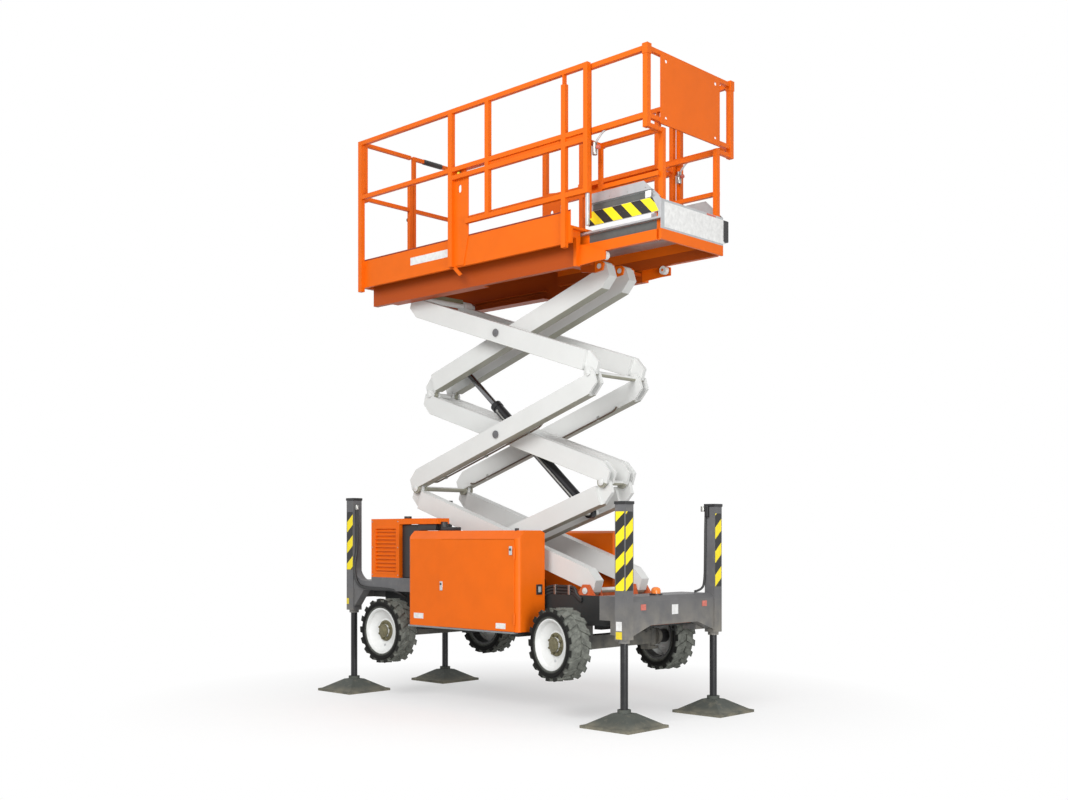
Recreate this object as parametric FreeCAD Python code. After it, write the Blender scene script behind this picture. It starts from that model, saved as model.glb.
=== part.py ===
import FreeCAD, Part
import os
import math

os.makedirs("parts", exist_ok=True)

V = FreeCAD.Vector

# Frame: +X forward to the rolled-out deck, -Y the side with the louvred cover, +Z up, floor at z 0.
# All lengths are millimetres and the machine stands on its four feet with the wheels clear.

# Wheels
wheel_x = 1065.0
wheel_y = 637.0
wheel_z = 600.0
tyre_r = 287.0
tyre_w = 216.0
wheel_sides = 34
lug_h = 12.0
lug_w = 50.0
lug_lean = 27.0
rim_r = 200.0
rim_w = 176.0
dish_r = 110.0
hub_r = 58.0
spindle_r = 24.0
running_fit = 0.05
kingpin_y = 500.0
kingpin_r = 20.0
knuckle_h = 72.0
steer_turn = -11.0
steer_tube_r = 30.0
steer_rod_r = 14.0
axle_half = 55.0
axle_end = 500.0
yoke_w = 40.0
yoke_t = 25.0

# Chassis
side_in = 345.0
side_out = 385.0
side_bottom = 740.0
belly_t = 12.0
tail_gap = 230.0
carrier_x = (-590.0, 0.0, 590.0)
carrier_half = 40.0
lash_inset = (35.0, 200.0)
lash_y = 350.0
lash_z = 705.0
lash_r = 20.0
lash_t = 16.0
lash_half = 34.0

# Scissor stack
pivot_x = 1075.0
pivot_z = 1014.0
arm_length = 2285.0
level_pitch = 173.0
arm_depth = 165.0
rest_angle = 22.6
outer_y = 338.0
inner_y = 173.0
arm_t = 95.0
tang_t = 35.0
cheek_t = 22.0
end_zone = 75.0
end_past = 56.0
eye_r = 45.0
pin_r = 22.0
centre_pin_r = 28.0
slide_r = 34.0
top_slide_r = 29.0
shaft_r = 24.0
track_t = 8.0
open_fit = 0.5
seat_gap = 0.3

# Lift cylinder
cyl_along = 0.85
cyl_drop = 120.0
barrel_r = 48.0
barrel_len = 1500.0
rod_r = 27.0
rod_start = 560.0
cyl_pin_r = 20.0
eye_half = 28.0
low_eye_half = 24.0
lug_r = 34.0
lug_t = 14.0
lug_tube_r = 28.0

# Outriggers
foot_x = 1650.0
foot_y = 575.0
column_w = 100.0
cap_t = 14.0
front_column_z = (665.0, 1715.0)
rear_column_z = (760.0, 1807.0)
leg_r = 30.0
leg_fit = 0.4
leg_top = 1200.0
gland_r = 44.0
gland_h = 25.0
pad_w = 480.0
pad_t = 22.0
pad_crown_z = 112.0
pad_socket_z = 138.0
front_under_z = 765.0
front_flare_z = 690.0
front_flare_y = 300.0
front_box_len = 290.0
front_box_z = 800.0
front_web_len = 180.0
rear_beam_z = (880.0, 1040.0)
rear_arm_z = (955.0, 1040.0)
rear_arm_front = -700.0
rear_arm_in = 500.0
rear_arm_out = 620.0
sweep_r = 150.0

# Modules beside the chassis
module_rear = -676.0
module_front = 685.0
module_seam = -260.0
module_in = 431.0
module_out = 745.0
module_bottom = 678.0
module_top = 1430.0
module_crown = 1500.0
module_corner = 38.0
shoulder_w = 80.0
ridge_w = 45.0
sheet_t = 6.0
door_hinge_r = 8.0
hinge_h = 90.0
engine_x = (-480.0, 160.0)

# Cover with louvres behind the near module
cover_gap = 314.0
cover_len = 396.0
cover_out = 620.0
cover_in = 472.0
cover_bottom = 1077.0
cover_top = 1610.0
hood_front = -433.0
hood_t = 50.0
grille_side = (61.0, 45.0)
grille_edge = (53.0, 90.0)
grille_deep = 16.0
louvre_count = 11

# Platform, as heights above the top pins of the scissor stack
floor_above = 262.0
skirt_above = 384.0
beam_above = 124.0
deck_t = 20.0
beam_out = 575.0
beam_w = 30.0
skirt_t = 6.0
deck_rear = -1540.0
deck_front = 1100.0
inner_beam_w = 50.0

# Guard rails, as heights above the skirt
rail_top_up = 1083.0
rail_mid_up = 578.0
rail_low_up = 108.0
rail_pair = 70.0
rail_w = 38.0
cross_w = 34.0
post_t = 40.0
post_w = 50.0
hung_w = 44.0
corner_x = -1515.0
plate_post_x = -270.0
hung_x = 185.0
front_post_x = 1055.0
guide_post_x = 1290.0
gate_plate_x = (-290.0, -70.0)
centre_post_up = 828.0
gate_pin_r = 19.0
gate_gap = 44.0

# Rolled-out deck, as heights above the top pins
ext_above = 57.0
ext_beam_h = 80.0
ext_beam_w = 45.0
ext_out = 403.0
ext_front = 1870.0
ext_rear = 100.0
ext_rail_y = 540.0
ext_low_y = 385.0
ext_foot_y = 352.0
ext_post_rear = 1255.0
ext_post_w = 40.0
ext_roller_r = 34.0
ext_roller_x = 1290.0
floor_t = 15.0
floor_gap = 10.0
toe_gap = 8.0
toe_front_up = -22.0
toe_side_up = 143.0

# Places that follow from those sizes
chassis_rear = tail_gap - foot_x
chassis_front = foot_x - column_w / 2.0
cross_x = (
    # rear face, front face
    (chassis_rear + 120.0, chassis_rear + 220.0),
    (-60.0, 60.0),
    (pivot_x - 65.0, pivot_x + 65.0),
    (chassis_front - 120.0, chassis_front),
)
lash_x = (chassis_rear + lash_inset[0], chassis_front - lash_inset[1])
front_box_rear = foot_x - front_box_len
front_web_rear = foot_x - front_web_len
cover_rear = cover_gap - foot_x
cover_front = cover_rear + cover_len
grille_x = (cover_rear + grille_side[0], cover_front - grille_side[1])
grille_z = (cover_bottom + grille_edge[0], cover_top - grille_edge[1])


def box(x0, x1, y0, y1, z0, z1):
    return Part.makeBox(abs(x1 - x0), abs(y1 - y0), abs(z1 - z0), V(min(x0, x1), min(y0, y1), min(z0, z1)))


def rod_y(r, x, z, y0, y1):
    return Part.makeCylinder(r, abs(y1 - y0), V(x, min(y0, y1), z), V(0, 1, 0))


def rod_z(r, x, y, z0, z1):
    return Part.makeCylinder(r, abs(z1 - z0), V(x, y, min(z0, z1)), V(0, 0, 1))


def bar_x(w, x0, x1, y, z):
    # square tube along x about a middle line
    return box(x0, x1, y - w / 2.0, y + w / 2.0, z - w / 2.0, z + w / 2.0)


def bar_y(w, x, y0, y1, z):
    return box(x - w / 2.0, x + w / 2.0, y0, y1, z - w / 2.0, z + w / 2.0)


def bar_z(w, x, y, z0, z1):
    return box(x - w / 2.0, x + w / 2.0, y - w / 2.0, y + w / 2.0, z0, z1)


def flat(points):
    return Part.Face(Part.makePolygon(points + points[:1]))


def slab_xz(points, y0, y1):
    return flat([V(x, min(y0, y1), z) for x, z in points]).extrude(V(0, abs(y1 - y0), 0))


def slab_yz(points, x0, x1):
    return flat([V(min(x0, x1), y, z) for y, z in points]).extrude(V(abs(x1 - x0), 0, 0))


def fuse(shapes):
    if len(shapes) == 1:
        return shapes[0]
    return shapes[0].multiFuse(shapes[1:]).removeSplitter()


def closed_solid(faces):
    solid = Part.Solid(Part.Shell(faces))
    if solid.Volume < 0:
        solid.reverse()
    return solid


def tower(x, y, rows, sides, turn):
    # flat-sided solid about a vertical line, from rows of radius and height
    rings = []
    for r, z in rows:
        steps = [2.0 * math.pi * (i + turn) / sides for i in range(sides)]
        rings.append([V(x + r * math.cos(a), y + r * math.sin(a), z) for a in steps])
    faces = [flat(rings[0]), flat(rings[-1])]
    for low, high in zip(rings, rings[1:]):
        for i in range(sides):
            j = (i + 1) % sides
            faces.append(flat([low[i], low[j], high[j], high[i]]))
    return closed_solid(faces)


def save(name, shape):
    shape.exportStep("parts/" + name + ".step")


# Scissor geometry
stow_angle = math.degrees(math.asin(level_pitch / arm_length))
rise = arm_length * math.sin(math.radians(rest_angle))
reach = arm_length * math.cos(math.radians(rest_angle))
half_span = arm_length * math.cos(math.radians(stow_angle)) / 2.0
half_pitch = level_pitch / 2.0
slide_x = pivot_x - reach
mid_x = pivot_x - reach / 2.0
swing = rest_angle - stow_angle
inner_in = inner_y - arm_t
outer_in = outer_y - arm_t
top_pivot_z = pivot_z + 3.0 * rise
side_top = pivot_z - slide_r - 0.2
roller_in = side_in + 2.0
roller_out = side_out - 4.0


def arm_blank(kind, rear_end, front_end):
    # one arm centred on y 0, lying level with its middle pin at the origin
    d = arm_depth / 2.0
    end = half_span + end_past
    cut_x = half_span - 54.0
    cut_z = 20.0
    half = arm_t / 2.0
    if kind == "up":
        pts = [(-end, -d), (cut_x, -d), (end, -cut_z), (end, d), (-cut_x, d), (-end, cut_z)]
        eyes = [(-half_span, -half_pitch), (half_span, half_pitch)]
    else:
        pts = [(-end, -cut_z), (-cut_x, -d), (end, -d), (end, cut_z), (cut_x, d), (-end, d)]
        eyes = [(-half_span, half_pitch), (half_span, -half_pitch)]
    arm = fuse([slab_xz(pts, -half, half)] + [rod_y(eye_r, x, z, -half, half) for x, z in eyes])
    tall = arm_depth * 2.0
    for end_kind, side in ((rear_end, -1), (front_end, 1)):
        x_in = side * (half_span - end_zone)
        x_out = side * (half_span + end_past + eye_r + 10.0)
        if end_kind == "tang":
            for s in (-1, 1):
                arm = arm.cut(box(x_in, x_out, s * tang_t / 2.0, s * (half + 1.0), -tall, tall))
        if end_kind == "clevis":
            gap = half - cheek_t
            arm = arm.cut(box(x_in, x_out, -gap, gap, -tall, tall))
    return arm


def arm_set(kind, layer, rear_end, front_end, level, holes, rods, plates=()):
    # near and far arms of one level with the pins they carry, turned to the resting angle
    blank = arm_blank(kind, rear_end, front_end)
    for x, z, r in holes:
        blank = blank.cut(rod_y(r, x, z, -arm_t, arm_t))
    y_mid = layer - arm_t / 2.0
    shapes = [blank.translated(V(0, s * y_mid, 0)) for s in (-1, 1)]
    shapes += list(plates)
    shapes += [rod_y(r, x, z, y0, y1) for r, x, z, y0, y1 in rods]
    out = fuse(shapes)
    out.rotate(V(0, 0, 0), V(0, 1, 0), -swing if kind == "up" else swing)
    out.translate(V(mid_x, 0, pivot_z + (level - 0.5) * rise))
    return out


rear_low = (-half_span, -half_pitch)
rear_high = (-half_span, half_pitch)
front_low = (half_span, -half_pitch)
front_high = (half_span, half_pitch)
fit_r = pin_r + running_fit
loose_r = pin_r + open_fit
mid_hole = (0.0, 0.0, centre_pin_r + running_fit)
stub = [
    (centre_pin_r, 0.0, 0.0, -outer_y - 8.0, -inner_in + 6.0),
    (centre_pin_r, 0.0, 0.0, inner_in - 6.0, outer_y + 8.0),
]

# Level 1: outer arms fall to the front pivot, inner arms fall to the rear rollers
level1_outer = arm_set(
    "down", outer_y, "tang", "plain", 1, [(rear_high[0], rear_high[1], fit_r)],
    stub + [(pin_r, front_low[0], front_low[1], -side_out + 10.0, side_out - 10.0)],
)
cyl_u = (cyl_along - 0.5) * arm_length
stow_rad = math.radians(stow_angle)
cyl_px = cyl_u * math.cos(stow_rad) + cyl_drop * math.sin(stow_rad)
cyl_pz = cyl_u * math.sin(stow_rad) - cyl_drop * math.cos(stow_rad)
trunnion_r = cyl_pin_r + 6.0
level1_inner = arm_set(
    "up", inner_y, "plain", "tang", 1, [mid_hole, (front_high[0], front_high[1], loose_r)],
    [
        (shaft_r, rear_low[0], rear_low[1], -roller_out, roller_out),
        (slide_r, rear_low[0], rear_low[1], -roller_out, -roller_in),
        (slide_r, rear_low[0], rear_low[1], roller_in, roller_out),
        (trunnion_r, cyl_px, cyl_pz, -inner_in - 4.0, -low_eye_half - 2.0),
        (trunnion_r, cyl_px, cyl_pz, low_eye_half + 2.0, inner_in + 4.0),
        (cyl_pin_r, cyl_px, cyl_pz, -low_eye_half - 6.0, low_eye_half + 6.0),
    ],
)

# Level 2: outer arms rise to the front, inner arms rise to the rear
level2_outer = arm_set(
    "up", outer_y, "clevis", "clevis", 2, [(front_high[0], front_high[1], fit_r)],
    stub + [(pin_r, rear_low[0], rear_low[1], -outer_y - 6.0, outer_y + 6.0)],
)
level2_inner = arm_set(
    "down", inner_y, "clevis", "clevis", 2, [mid_hole],
    [
        (pin_r, rear_high[0], rear_high[1], -inner_y - 6.0, inner_y + 6.0),
        (pin_r, front_low[0], front_low[1], -inner_y - 6.0, inner_y + 6.0),
    ],
)

# Level 3: outer arms rise to the rear slide, inner arms rise to the platform pivot
level3_outer = arm_set(
    "down", outer_y, "plain", "tang", 3, [],
    stub + [
        (pin_r, front_low[0], front_low[1], -outer_y - 6.0, outer_y + 6.0),
        (shaft_r, rear_high[0], rear_high[1], -roller_out, roller_out),
        (top_slide_r, rear_high[0], rear_high[1], -roller_out, -roller_in),
        (top_slide_r, rear_high[0], rear_high[1], roller_in, roller_out),
    ],
)
lug_in = eye_half + 4.0
lug_out = lug_in + lug_t
lug_tube_x = -cyl_px - 112.0
lug_tube_z = -cyl_pz - 5.0
lug_shape = [
    (lug_tube_x, lug_tube_z - lug_tube_r), (-cyl_px, -cyl_pz - lug_r),
    (-cyl_px, -cyl_pz + lug_r), (lug_tube_x, lug_tube_z + lug_tube_r)]
lug_bosses = []
lug_plates = []
for s in (-1, 1):
    lug_bosses.append((lug_r, -cyl_px, -cyl_pz, s * lug_in, s * lug_out))
    lug_bosses.append((trunnion_r, -cyl_px, -cyl_pz, s * lug_in, s * (lug_out + 8.0)))
    lug_plates.append(slab_xz(lug_shape, s * lug_in, s * lug_out))
level3_inner = arm_set(
    "up", inner_y, "tang", "plain", 3, [mid_hole, (rear_low[0], rear_low[1], loose_r)],
    [
        (pin_r, front_high[0], front_high[1], -inner_y - 30.0, -inner_in + 24.0),
        (pin_r, front_high[0], front_high[1], inner_in - 24.0, inner_y + 30.0),
        (lug_tube_r, lug_tube_x, lug_tube_z, -inner_in - 4.0, inner_in + 4.0),
    ] + lug_bosses,
    lug_plates,
)
save("level1_outer_arms", level1_outer)
save("level1_inner_arms", level1_inner)
save("level2_outer_arms", level2_outer)
save("level2_inner_arms", level2_inner)
save("level3_outer_arms", level3_outer)
save("level3_inner_arms", level3_inner)

# Lift cylinder on the centre plane, from the level 1 inner arms up to the level 3 inner arms
rest_rad = math.radians(rest_angle)
cyl_low = V(
    slide_x + cyl_along * reach + cyl_drop * math.sin(rest_rad), 0,
    pivot_z + cyl_along * rise - cyl_drop * math.cos(rest_rad),
)
cyl_high = V(2.0 * mid_x - cyl_low.x, 0, 2.0 * (pivot_z + 1.5 * rise) - cyl_low.z)
cyl_dir = cyl_high - cyl_low
cyl_total = cyl_dir.Length
cyl_unit = V(cyl_dir.x / cyl_total, 0, cyl_dir.z / cyl_total)
gland_len = barrel_r
barrel = fuse([
    Part.makeCylinder(barrel_r, barrel_len - 60.0, cyl_low + cyl_unit * 60.0, cyl_unit),
    rod_y(barrel_r, cyl_low.x, cyl_low.z, -low_eye_half, low_eye_half),
    Part.makeCylinder(barrel_r / 2.0, 70.0, cyl_low + cyl_unit * 10.0, cyl_unit),
    Part.makeCylinder(barrel_r + 5.0, gland_len, cyl_low + cyl_unit * (barrel_len - gland_len), cyl_unit),
])
barrel = barrel.cut(rod_y(cyl_pin_r + running_fit, cyl_low.x, cyl_low.z, -barrel_r, barrel_r))
bore_start = cyl_low + cyl_unit * 130.0
barrel = barrel.cut(Part.makeCylinder(rod_r + running_fit, barrel_len, bore_start, cyl_unit))
save("lift_cylinder_barrel", barrel)
rod = fuse([
    Part.makeCylinder(rod_r, cyl_total - rod_start - 30.0, cyl_low + cyl_unit * rod_start, cyl_unit),
    rod_y(barrel_r, cyl_high.x, cyl_high.z, -eye_half, eye_half),
    rod_y(cyl_pin_r, cyl_high.x, cyl_high.z, -eye_half - 3.5, eye_half + 3.5),
])
save("lift_cylinder_rod", rod)

# Chassis: side members, cross members, belly, roller tracks and front pivot brackets
track_front = pivot_x - arm_length * math.cos(math.radians(56.0)) + 120.0
track_rear = pivot_x - 2.0 * half_span - 60.0
lip_y = side_out + 6.0
lip_z = pivot_z + slide_r + 8.0
cross_top = min(pivot_z - eye_r - 14.0, side_top)
frame = []
for s in (-1, 1):
    frame.append(box(chassis_rear, chassis_front, s * side_in, s * side_out, side_bottom, side_top))
    frame.append(box(track_rear, track_front, s * side_out, s * lip_y, side_top - 60.0, lip_z + track_t))
    frame.append(box(track_rear, track_front, s * side_in, s * lip_y, lip_z, lip_z + track_t))
    frame.append(slab_xz([
        (pivot_x - 90.0, side_top), (pivot_x + 90.0, side_top), (pivot_x + 30.0, pivot_z + 50.0),
        (pivot_x - 30.0, pivot_z + 50.0)], s * side_in, s * (side_in + 25.0)))
    frame.append(slab_xz([
        (pivot_x - 65.0, cross_top - 55.0), (pivot_x + 65.0, cross_top - 55.0),
        (pivot_x + 65.0, pivot_z - 84.0),
        (pivot_x + 30.0, pivot_z + 40.0), (pivot_x - 30.0, pivot_z + 40.0),
        (pivot_x - 65.0, pivot_z - 84.0)],
        s * (outer_in - 30.0), s * (outer_in - 6.0)))
for x0, x1 in cross_x:
    frame.append(box(x0, x1, -side_in, side_in, side_bottom, cross_top))
frame.append(box(chassis_rear, chassis_front, -side_in, side_in, side_bottom, side_bottom + belly_t))
carrier_bottom = module_bottom - carrier_half
for s in (-1, 1):
    for x in carrier_x:
        x0 = x - carrier_half
        x1 = x + carrier_half
        carrier_end = s * (module_out - 60.0)
        frame.append(box(x0, x1, s * (side_out - 10.0), carrier_end, carrier_bottom, module_bottom))
        frame.append(box(x0, x1, s * side_in, s * side_out, carrier_bottom, side_bottom))
    for x in lash_x:
        frame.append(slab_xz([
            (x - lash_half, side_bottom + 5.0), (x - lash_half + 6.0, lash_z - 32.0),
            (x + lash_half - 6.0, lash_z - 32.0), (x + lash_half, side_bottom + 5.0)],
            s * lash_y, s * (lash_y + lash_t)))
frame = fuse(frame)
for s in (-1, 1):
    for x in lash_x:
        frame = frame.cut(rod_y(lash_r, x, lash_z, s * (lash_y - 5.0), s * (lash_y + lash_t + 5.0)))
    frame = frame.cut(rod_y(fit_r, pivot_x, pivot_z, s * (outer_in - 40.0), s * (outer_in - 2.0)))
    frame = frame.cut(rod_y(fit_r, pivot_x, pivot_z, s * (side_in - 2.0), s * (side_in + 40.0)))
save("chassis_frame", frame)


def column(x, y, z_pair):
    # square post with a wider cap on top and a round gland at its foot
    z0, z1 = z_pair
    post = bar_z(column_w, x, y, z0, z1 - cap_t)
    cap = bar_z(column_w + 8.0, x, y, z1 - cap_t, z1)
    return [post, cap, rod_z(gland_r, x, y, z0 - gland_h, z0 + gland_h)]


def leg_hole(x, y, z_pair):
    return rod_z(leg_r + leg_fit, x, y, z_pair[0] - gland_h - 5.0, z_pair[1] - 30.0)


# Front outrigger beam: a deep box across the nose that flares down to its two columns
half_col = column_w / 2.0
beam_y = foot_y - half_col
front_top = side_top + seat_gap + track_t
front_face = foot_x + half_col - 10.0
front_parts = [
    slab_yz([
        (-beam_y, front_flare_z), (-front_flare_y, front_under_z), (front_flare_y, front_under_z),
        (beam_y, front_flare_z), (beam_y, front_top), (-beam_y, front_top)], foot_x - half_col, front_face),
    box(front_box_rear, foot_x - half_col, -beam_y, beam_y, side_top + seat_gap, front_top),
]
for s in (-1, 1):
    side = s * (side_out + seat_gap)
    front_parts.append(box(front_box_rear, foot_x - half_col, side, s * beam_y, front_box_z, front_top))
    web = side + s * 15.0
    front_parts.append(box(front_web_rear, foot_x - half_col, web, s * beam_y, front_flare_z, front_box_z))
    front_parts += column(foot_x, s * foot_y, front_column_z)
front_beam = fuse(front_parts)
front_beam = front_beam.cut(slab_xz([
    (front_face - 45.0, front_top + 1.0), (front_face + 1.0, front_top + 1.0),
    (front_face + 1.0, front_top - 38.0)],
    -beam_y, beam_y))
for s in (-1, 1):
    front_beam = front_beam.cut(leg_hole(foot_x, s * foot_y, front_column_z))
save("front_outrigger_beam", front_beam)


def sweep_gusset(x0, z_top, z_foot, s):
    # curved web from a rear column down into the arm that runs forward over the wheel
    r = sweep_r
    bend = r * math.sqrt(0.5)
    y0 = s * (foot_y - 40.0)
    points = [V(x0, y0, z_top + r), V(x0 + r - bend, y0, z_top + r - bend), V(x0 + r, y0, z_top)]
    tail = [
        points[2], V(x0 + r, y0, rear_arm_z[0] + 5.0), V(x0 + 10.0, y0, z_foot), V(x0 - 5.0, y0, z_foot),
        V(x0 - 5.0, y0, z_top + r), points[0]]
    curve = Part.Arc(points[0], points[1], points[2]).toShape()
    face = Part.Face(Part.Wire([curve] + Part.makePolygon(tail).Edges))
    return face.extrude(V(0, s * 80.0, 0))


# Rear outrigger beam with its two columns and the arms that run forward over the wheels
rear_x = -foot_x
rear_in = rear_x + half_col
rear_parts = [
    box(rear_x - half_col + 10.0, rear_in, -beam_y, beam_y, rear_beam_z[0], rear_beam_z[1]),
    box(cover_rear, rear_arm_front, -cover_out, -cover_in, rear_arm_z[1], cover_bottom),
]
for s in (-1, 1):
    inner = s * (side_out + 12.0)
    rear_parts += column(rear_x, s * foot_y, rear_column_z)
    arm_in = s * rear_arm_in
    rear_parts.append(box(rear_in, rear_arm_front, arm_in, s * rear_arm_out, rear_arm_z[0], rear_arm_z[1]))
    rear_parts.append(box(
        rear_in, chassis_rear + 200.0, inner, arm_in, rear_arm_z[0] + 30.0, rear_arm_z[1]))
    rear_parts.append(box(
        rear_in - 10.0, chassis_rear, s * side_out, s * side_in, rear_beam_z[0], side_top))
    rear_parts.append(sweep_gusset(rear_in, rear_arm_z[1], rear_column_z[0] + 40.0, s))
rear_beam = fuse(rear_parts)
for s in (-1, 1):
    rear_beam = rear_beam.cut(leg_hole(rear_x, s * foot_y, rear_column_z))
save("rear_outrigger_beam", rear_beam)

# Jack legs and foot pads
feet = (
    # name, x, y
    ("front_near", foot_x, -foot_y),
    ("front_far", foot_x, foot_y),
    ("rear_near", -foot_x, -foot_y),
    ("rear_far", -foot_x, foot_y),
)
diagonal = math.sqrt(0.5)
for name, x, y in feet:
    leg = rod_z(leg_r, x, y, pad_socket_z, leg_top)
    save("jack_leg_" + name, leg)
    pad_rows = [
        (pad_w * diagonal, 0.0), (pad_w * diagonal, pad_t), ((pad_w - 60.0) * diagonal, pad_t + 6.0),
        (pad_w * 0.27 * diagonal, pad_crown_z)]
    pad = [tower(x, y, pad_rows, 4, 0.5), rod_z(leg_r + 22.0, x, y, pad_crown_z - 20.0, pad_socket_z)]
    save("foot_pad_" + name, fuse(pad))

# Axles, with the steering cylinder behind the front one
axle_top = wheel_z + axle_half
axle_foot = wheel_z - axle_half
hub_tube_r = axle_half + 15.0
spindle_end = wheel_y + 53.0
rear_axle = [box(-wheel_x - axle_half, -wheel_x + axle_half, -axle_end, axle_end, axle_foot, axle_top)]
yoke_in = axle_end - 70.0
front_axle = [box(wheel_x - axle_half, wheel_x + axle_half, -yoke_in, yoke_in, axle_foot, axle_top)]
steer_x = wheel_x - axle_half - 35.0
steer_tube = axle_end - 240.0
steer_rod = axle_end - 160.0
steer_bracket = steer_tube - 140.0
front_axle.append(rod_y(steer_tube_r, steer_x, wheel_z, -steer_tube, steer_tube))
front_axle.append(rod_y(steer_rod_r, steer_x, wheel_z, -steer_rod, steer_rod))
front_axle.append(box(steer_x, wheel_x, -steer_bracket, steer_bracket, wheel_z - 20.0, wheel_z + 20.0))
yoke_low = wheel_z - knuckle_h - 8.0
yoke_high = wheel_z + knuckle_h + 8.0
for s in (-1, 1):
    rear_axle.append(rod_y(hub_tube_r, -wheel_x, wheel_z, s * (axle_end - 10.0), s * (axle_end + 40.0)))
    rear_axle.append(rod_y(spindle_r, -wheel_x, wheel_z, s * (axle_end + 30.0), s * spindle_end))
    for axle, x in ((rear_axle, -wheel_x), (front_axle, wheel_x)):
        axle.append(box(
            x - 70.0, x + 70.0, s * side_in, s * (side_out - 5.0), axle_top - 10.0, side_bottom))
    x0 = wheel_x - yoke_w
    x1 = wheel_x + yoke_w
    y0 = s * (yoke_in - 30.0)
    front_axle.append(box(x0, x1, y0, s * (kingpin_y + 40.0), yoke_high, yoke_high + yoke_t))
    front_axle.append(box(x0, x1, y0, s * (kingpin_y + 40.0), yoke_low - yoke_t, yoke_low))
    front_axle.append(box(x0, x1, y0, s * yoke_in, yoke_low - yoke_t, yoke_high + yoke_t))
rear_axle = fuse(rear_axle)
front_axle = fuse(front_axle)
for s in (-1, 1):
    kingpin_hole = rod_z(kingpin_r + running_fit, wheel_x, s * kingpin_y, yoke_low - 40.0, yoke_high + 40.0)
    front_axle = front_axle.cut(kingpin_hole)
save("rear_axle", rear_axle)
save("front_axle", front_axle)

# Steering knuckles
for name, s in (("near", -1), ("far", 1)):
    y = s * kingpin_y
    knuckle = fuse([
        rod_z(kingpin_r + 16.0, wheel_x, y, wheel_z - knuckle_h, wheel_z + knuckle_h),
        rod_z(kingpin_r, wheel_x, y, yoke_low - yoke_t - 3.0, yoke_high + yoke_t + 3.0),
        rod_y(hub_tube_r, wheel_x, wheel_z, y + s * 25.0, y + s * 60.0),
        rod_y(spindle_r, wheel_x, wheel_z, y + s * 50.0, s * spindle_end),
    ])
    knuckle.rotate(V(wheel_x, y, wheel_z), V(0, 0, 1), steer_turn)
    save("steering_knuckle_" + name, knuckle)

# Wheels
half_w = tyre_w / 2.0
half_rim = rim_w / 2.0
crown_r = tyre_r - lug_h
shoulder_r = crown_r - 25.0
wheel_step = 360.0 / wheel_sides
spindle_hole = spindle_r + running_fit


def facet_ring(profile):
    # ring about the y axis in flat steps, from rows of radius and distance along the axle
    rings = []
    for r, d in profile:
        steps = [math.radians(wheel_step * i) for i in range(wheel_sides)]
        rings.append([V(r * math.cos(a), d, r * math.sin(a)) for a in steps])
    faces = []
    for low, high in zip(rings, rings[1:] + rings[:1]):
        for i in range(wheel_sides):
            j = (i + 1) % wheel_sides
            faces.append(flat([low[i], low[j], high[j], high[i]]))
    return closed_solid(faces)


def tread_lug(side, place):
    # slanted block on one half of the tread, its foot sunk into the tyre
    half = lug_w / 2.0
    y0 = side * 4.0
    y1 = side * (half_w - 8.0)
    z = shoulder_r - 12.0
    lug = flat([
        V(-lug_lean - half, y0, z), V(-lug_lean + half, y0, z), V(lug_lean + half, y1, z),
        V(lug_lean - half, y1, z)]).extrude(V(0, 0, tyre_r - z))
    lug.rotate(V(0, 0, 0), V(0, 1, 0), 90.0 - place * wheel_step)
    return lug


lugs = []
for side, first in ((-1, 0.5), (1, 1.5)):
    for k in range(wheel_sides // 2):
        lugs.append(tread_lug(side, 2 * k + first))
tyre_blank = facet_ring([
    (rim_r, -half_rim), (rim_r + 30.0, -half_w + 6.0), (shoulder_r, -half_w), (crown_r, -half_w + 22.0),
    (crown_r, half_w - 22.0), (shoulder_r, half_w), (rim_r + 30.0, half_w - 6.0), (rim_r, half_rim)])
tyre_blank = tyre_blank.multiFuse(lugs)
rim_blank = facet_ring([
    (rim_r, -half_rim), (rim_r, half_rim), (rim_r - 12.0, half_rim), (rim_r - 24.0, half_rim - 24.0),
    (dish_r, 30.0), (hub_r, 34.0), (hub_r, 62.0), (spindle_r / 2.0, 62.0), (spindle_r / 2.0, -60.0),
    (hub_r, -60.0), (hub_r, 18.0), (dish_r, 16.0), (rim_r - 26.0, 40.0), (rim_r - 14.0, -half_rim)])
rim_blank = rim_blank.cut(rod_y(spindle_hole, 0.0, 0.0, -half_rim, half_rim))
wheels = (
    # name, x, side, turn about the kingpin
    ("front_near", wheel_x, -1, steer_turn),
    ("front_far", wheel_x, 1, steer_turn),
    ("rear_near", -wheel_x, -1, 0.0),
    ("rear_far", -wheel_x, 1, 0.0),
)
for name, x, side, turn in wheels:
    for kind, blank in (("tyre_", tyre_blank), ("rim_", rim_blank)):
        shape = blank if side > 0 else blank.mirror(V(0, 0, 0), V(0, 1, 0))
        shape = shape.translated(V(x, side * wheel_y, wheel_z))
        shape.rotate(V(x, side * kingpin_y, wheel_z), V(0, 0, 1), turn)
        save(kind + name, shape)

# Side modules: floor, end walls with round corners, back wall and sloping roof behind a hinged door
t = sheet_t
door_front = module_front - module_corner - 2.0
door_rear = module_seam + 2.0


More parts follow.
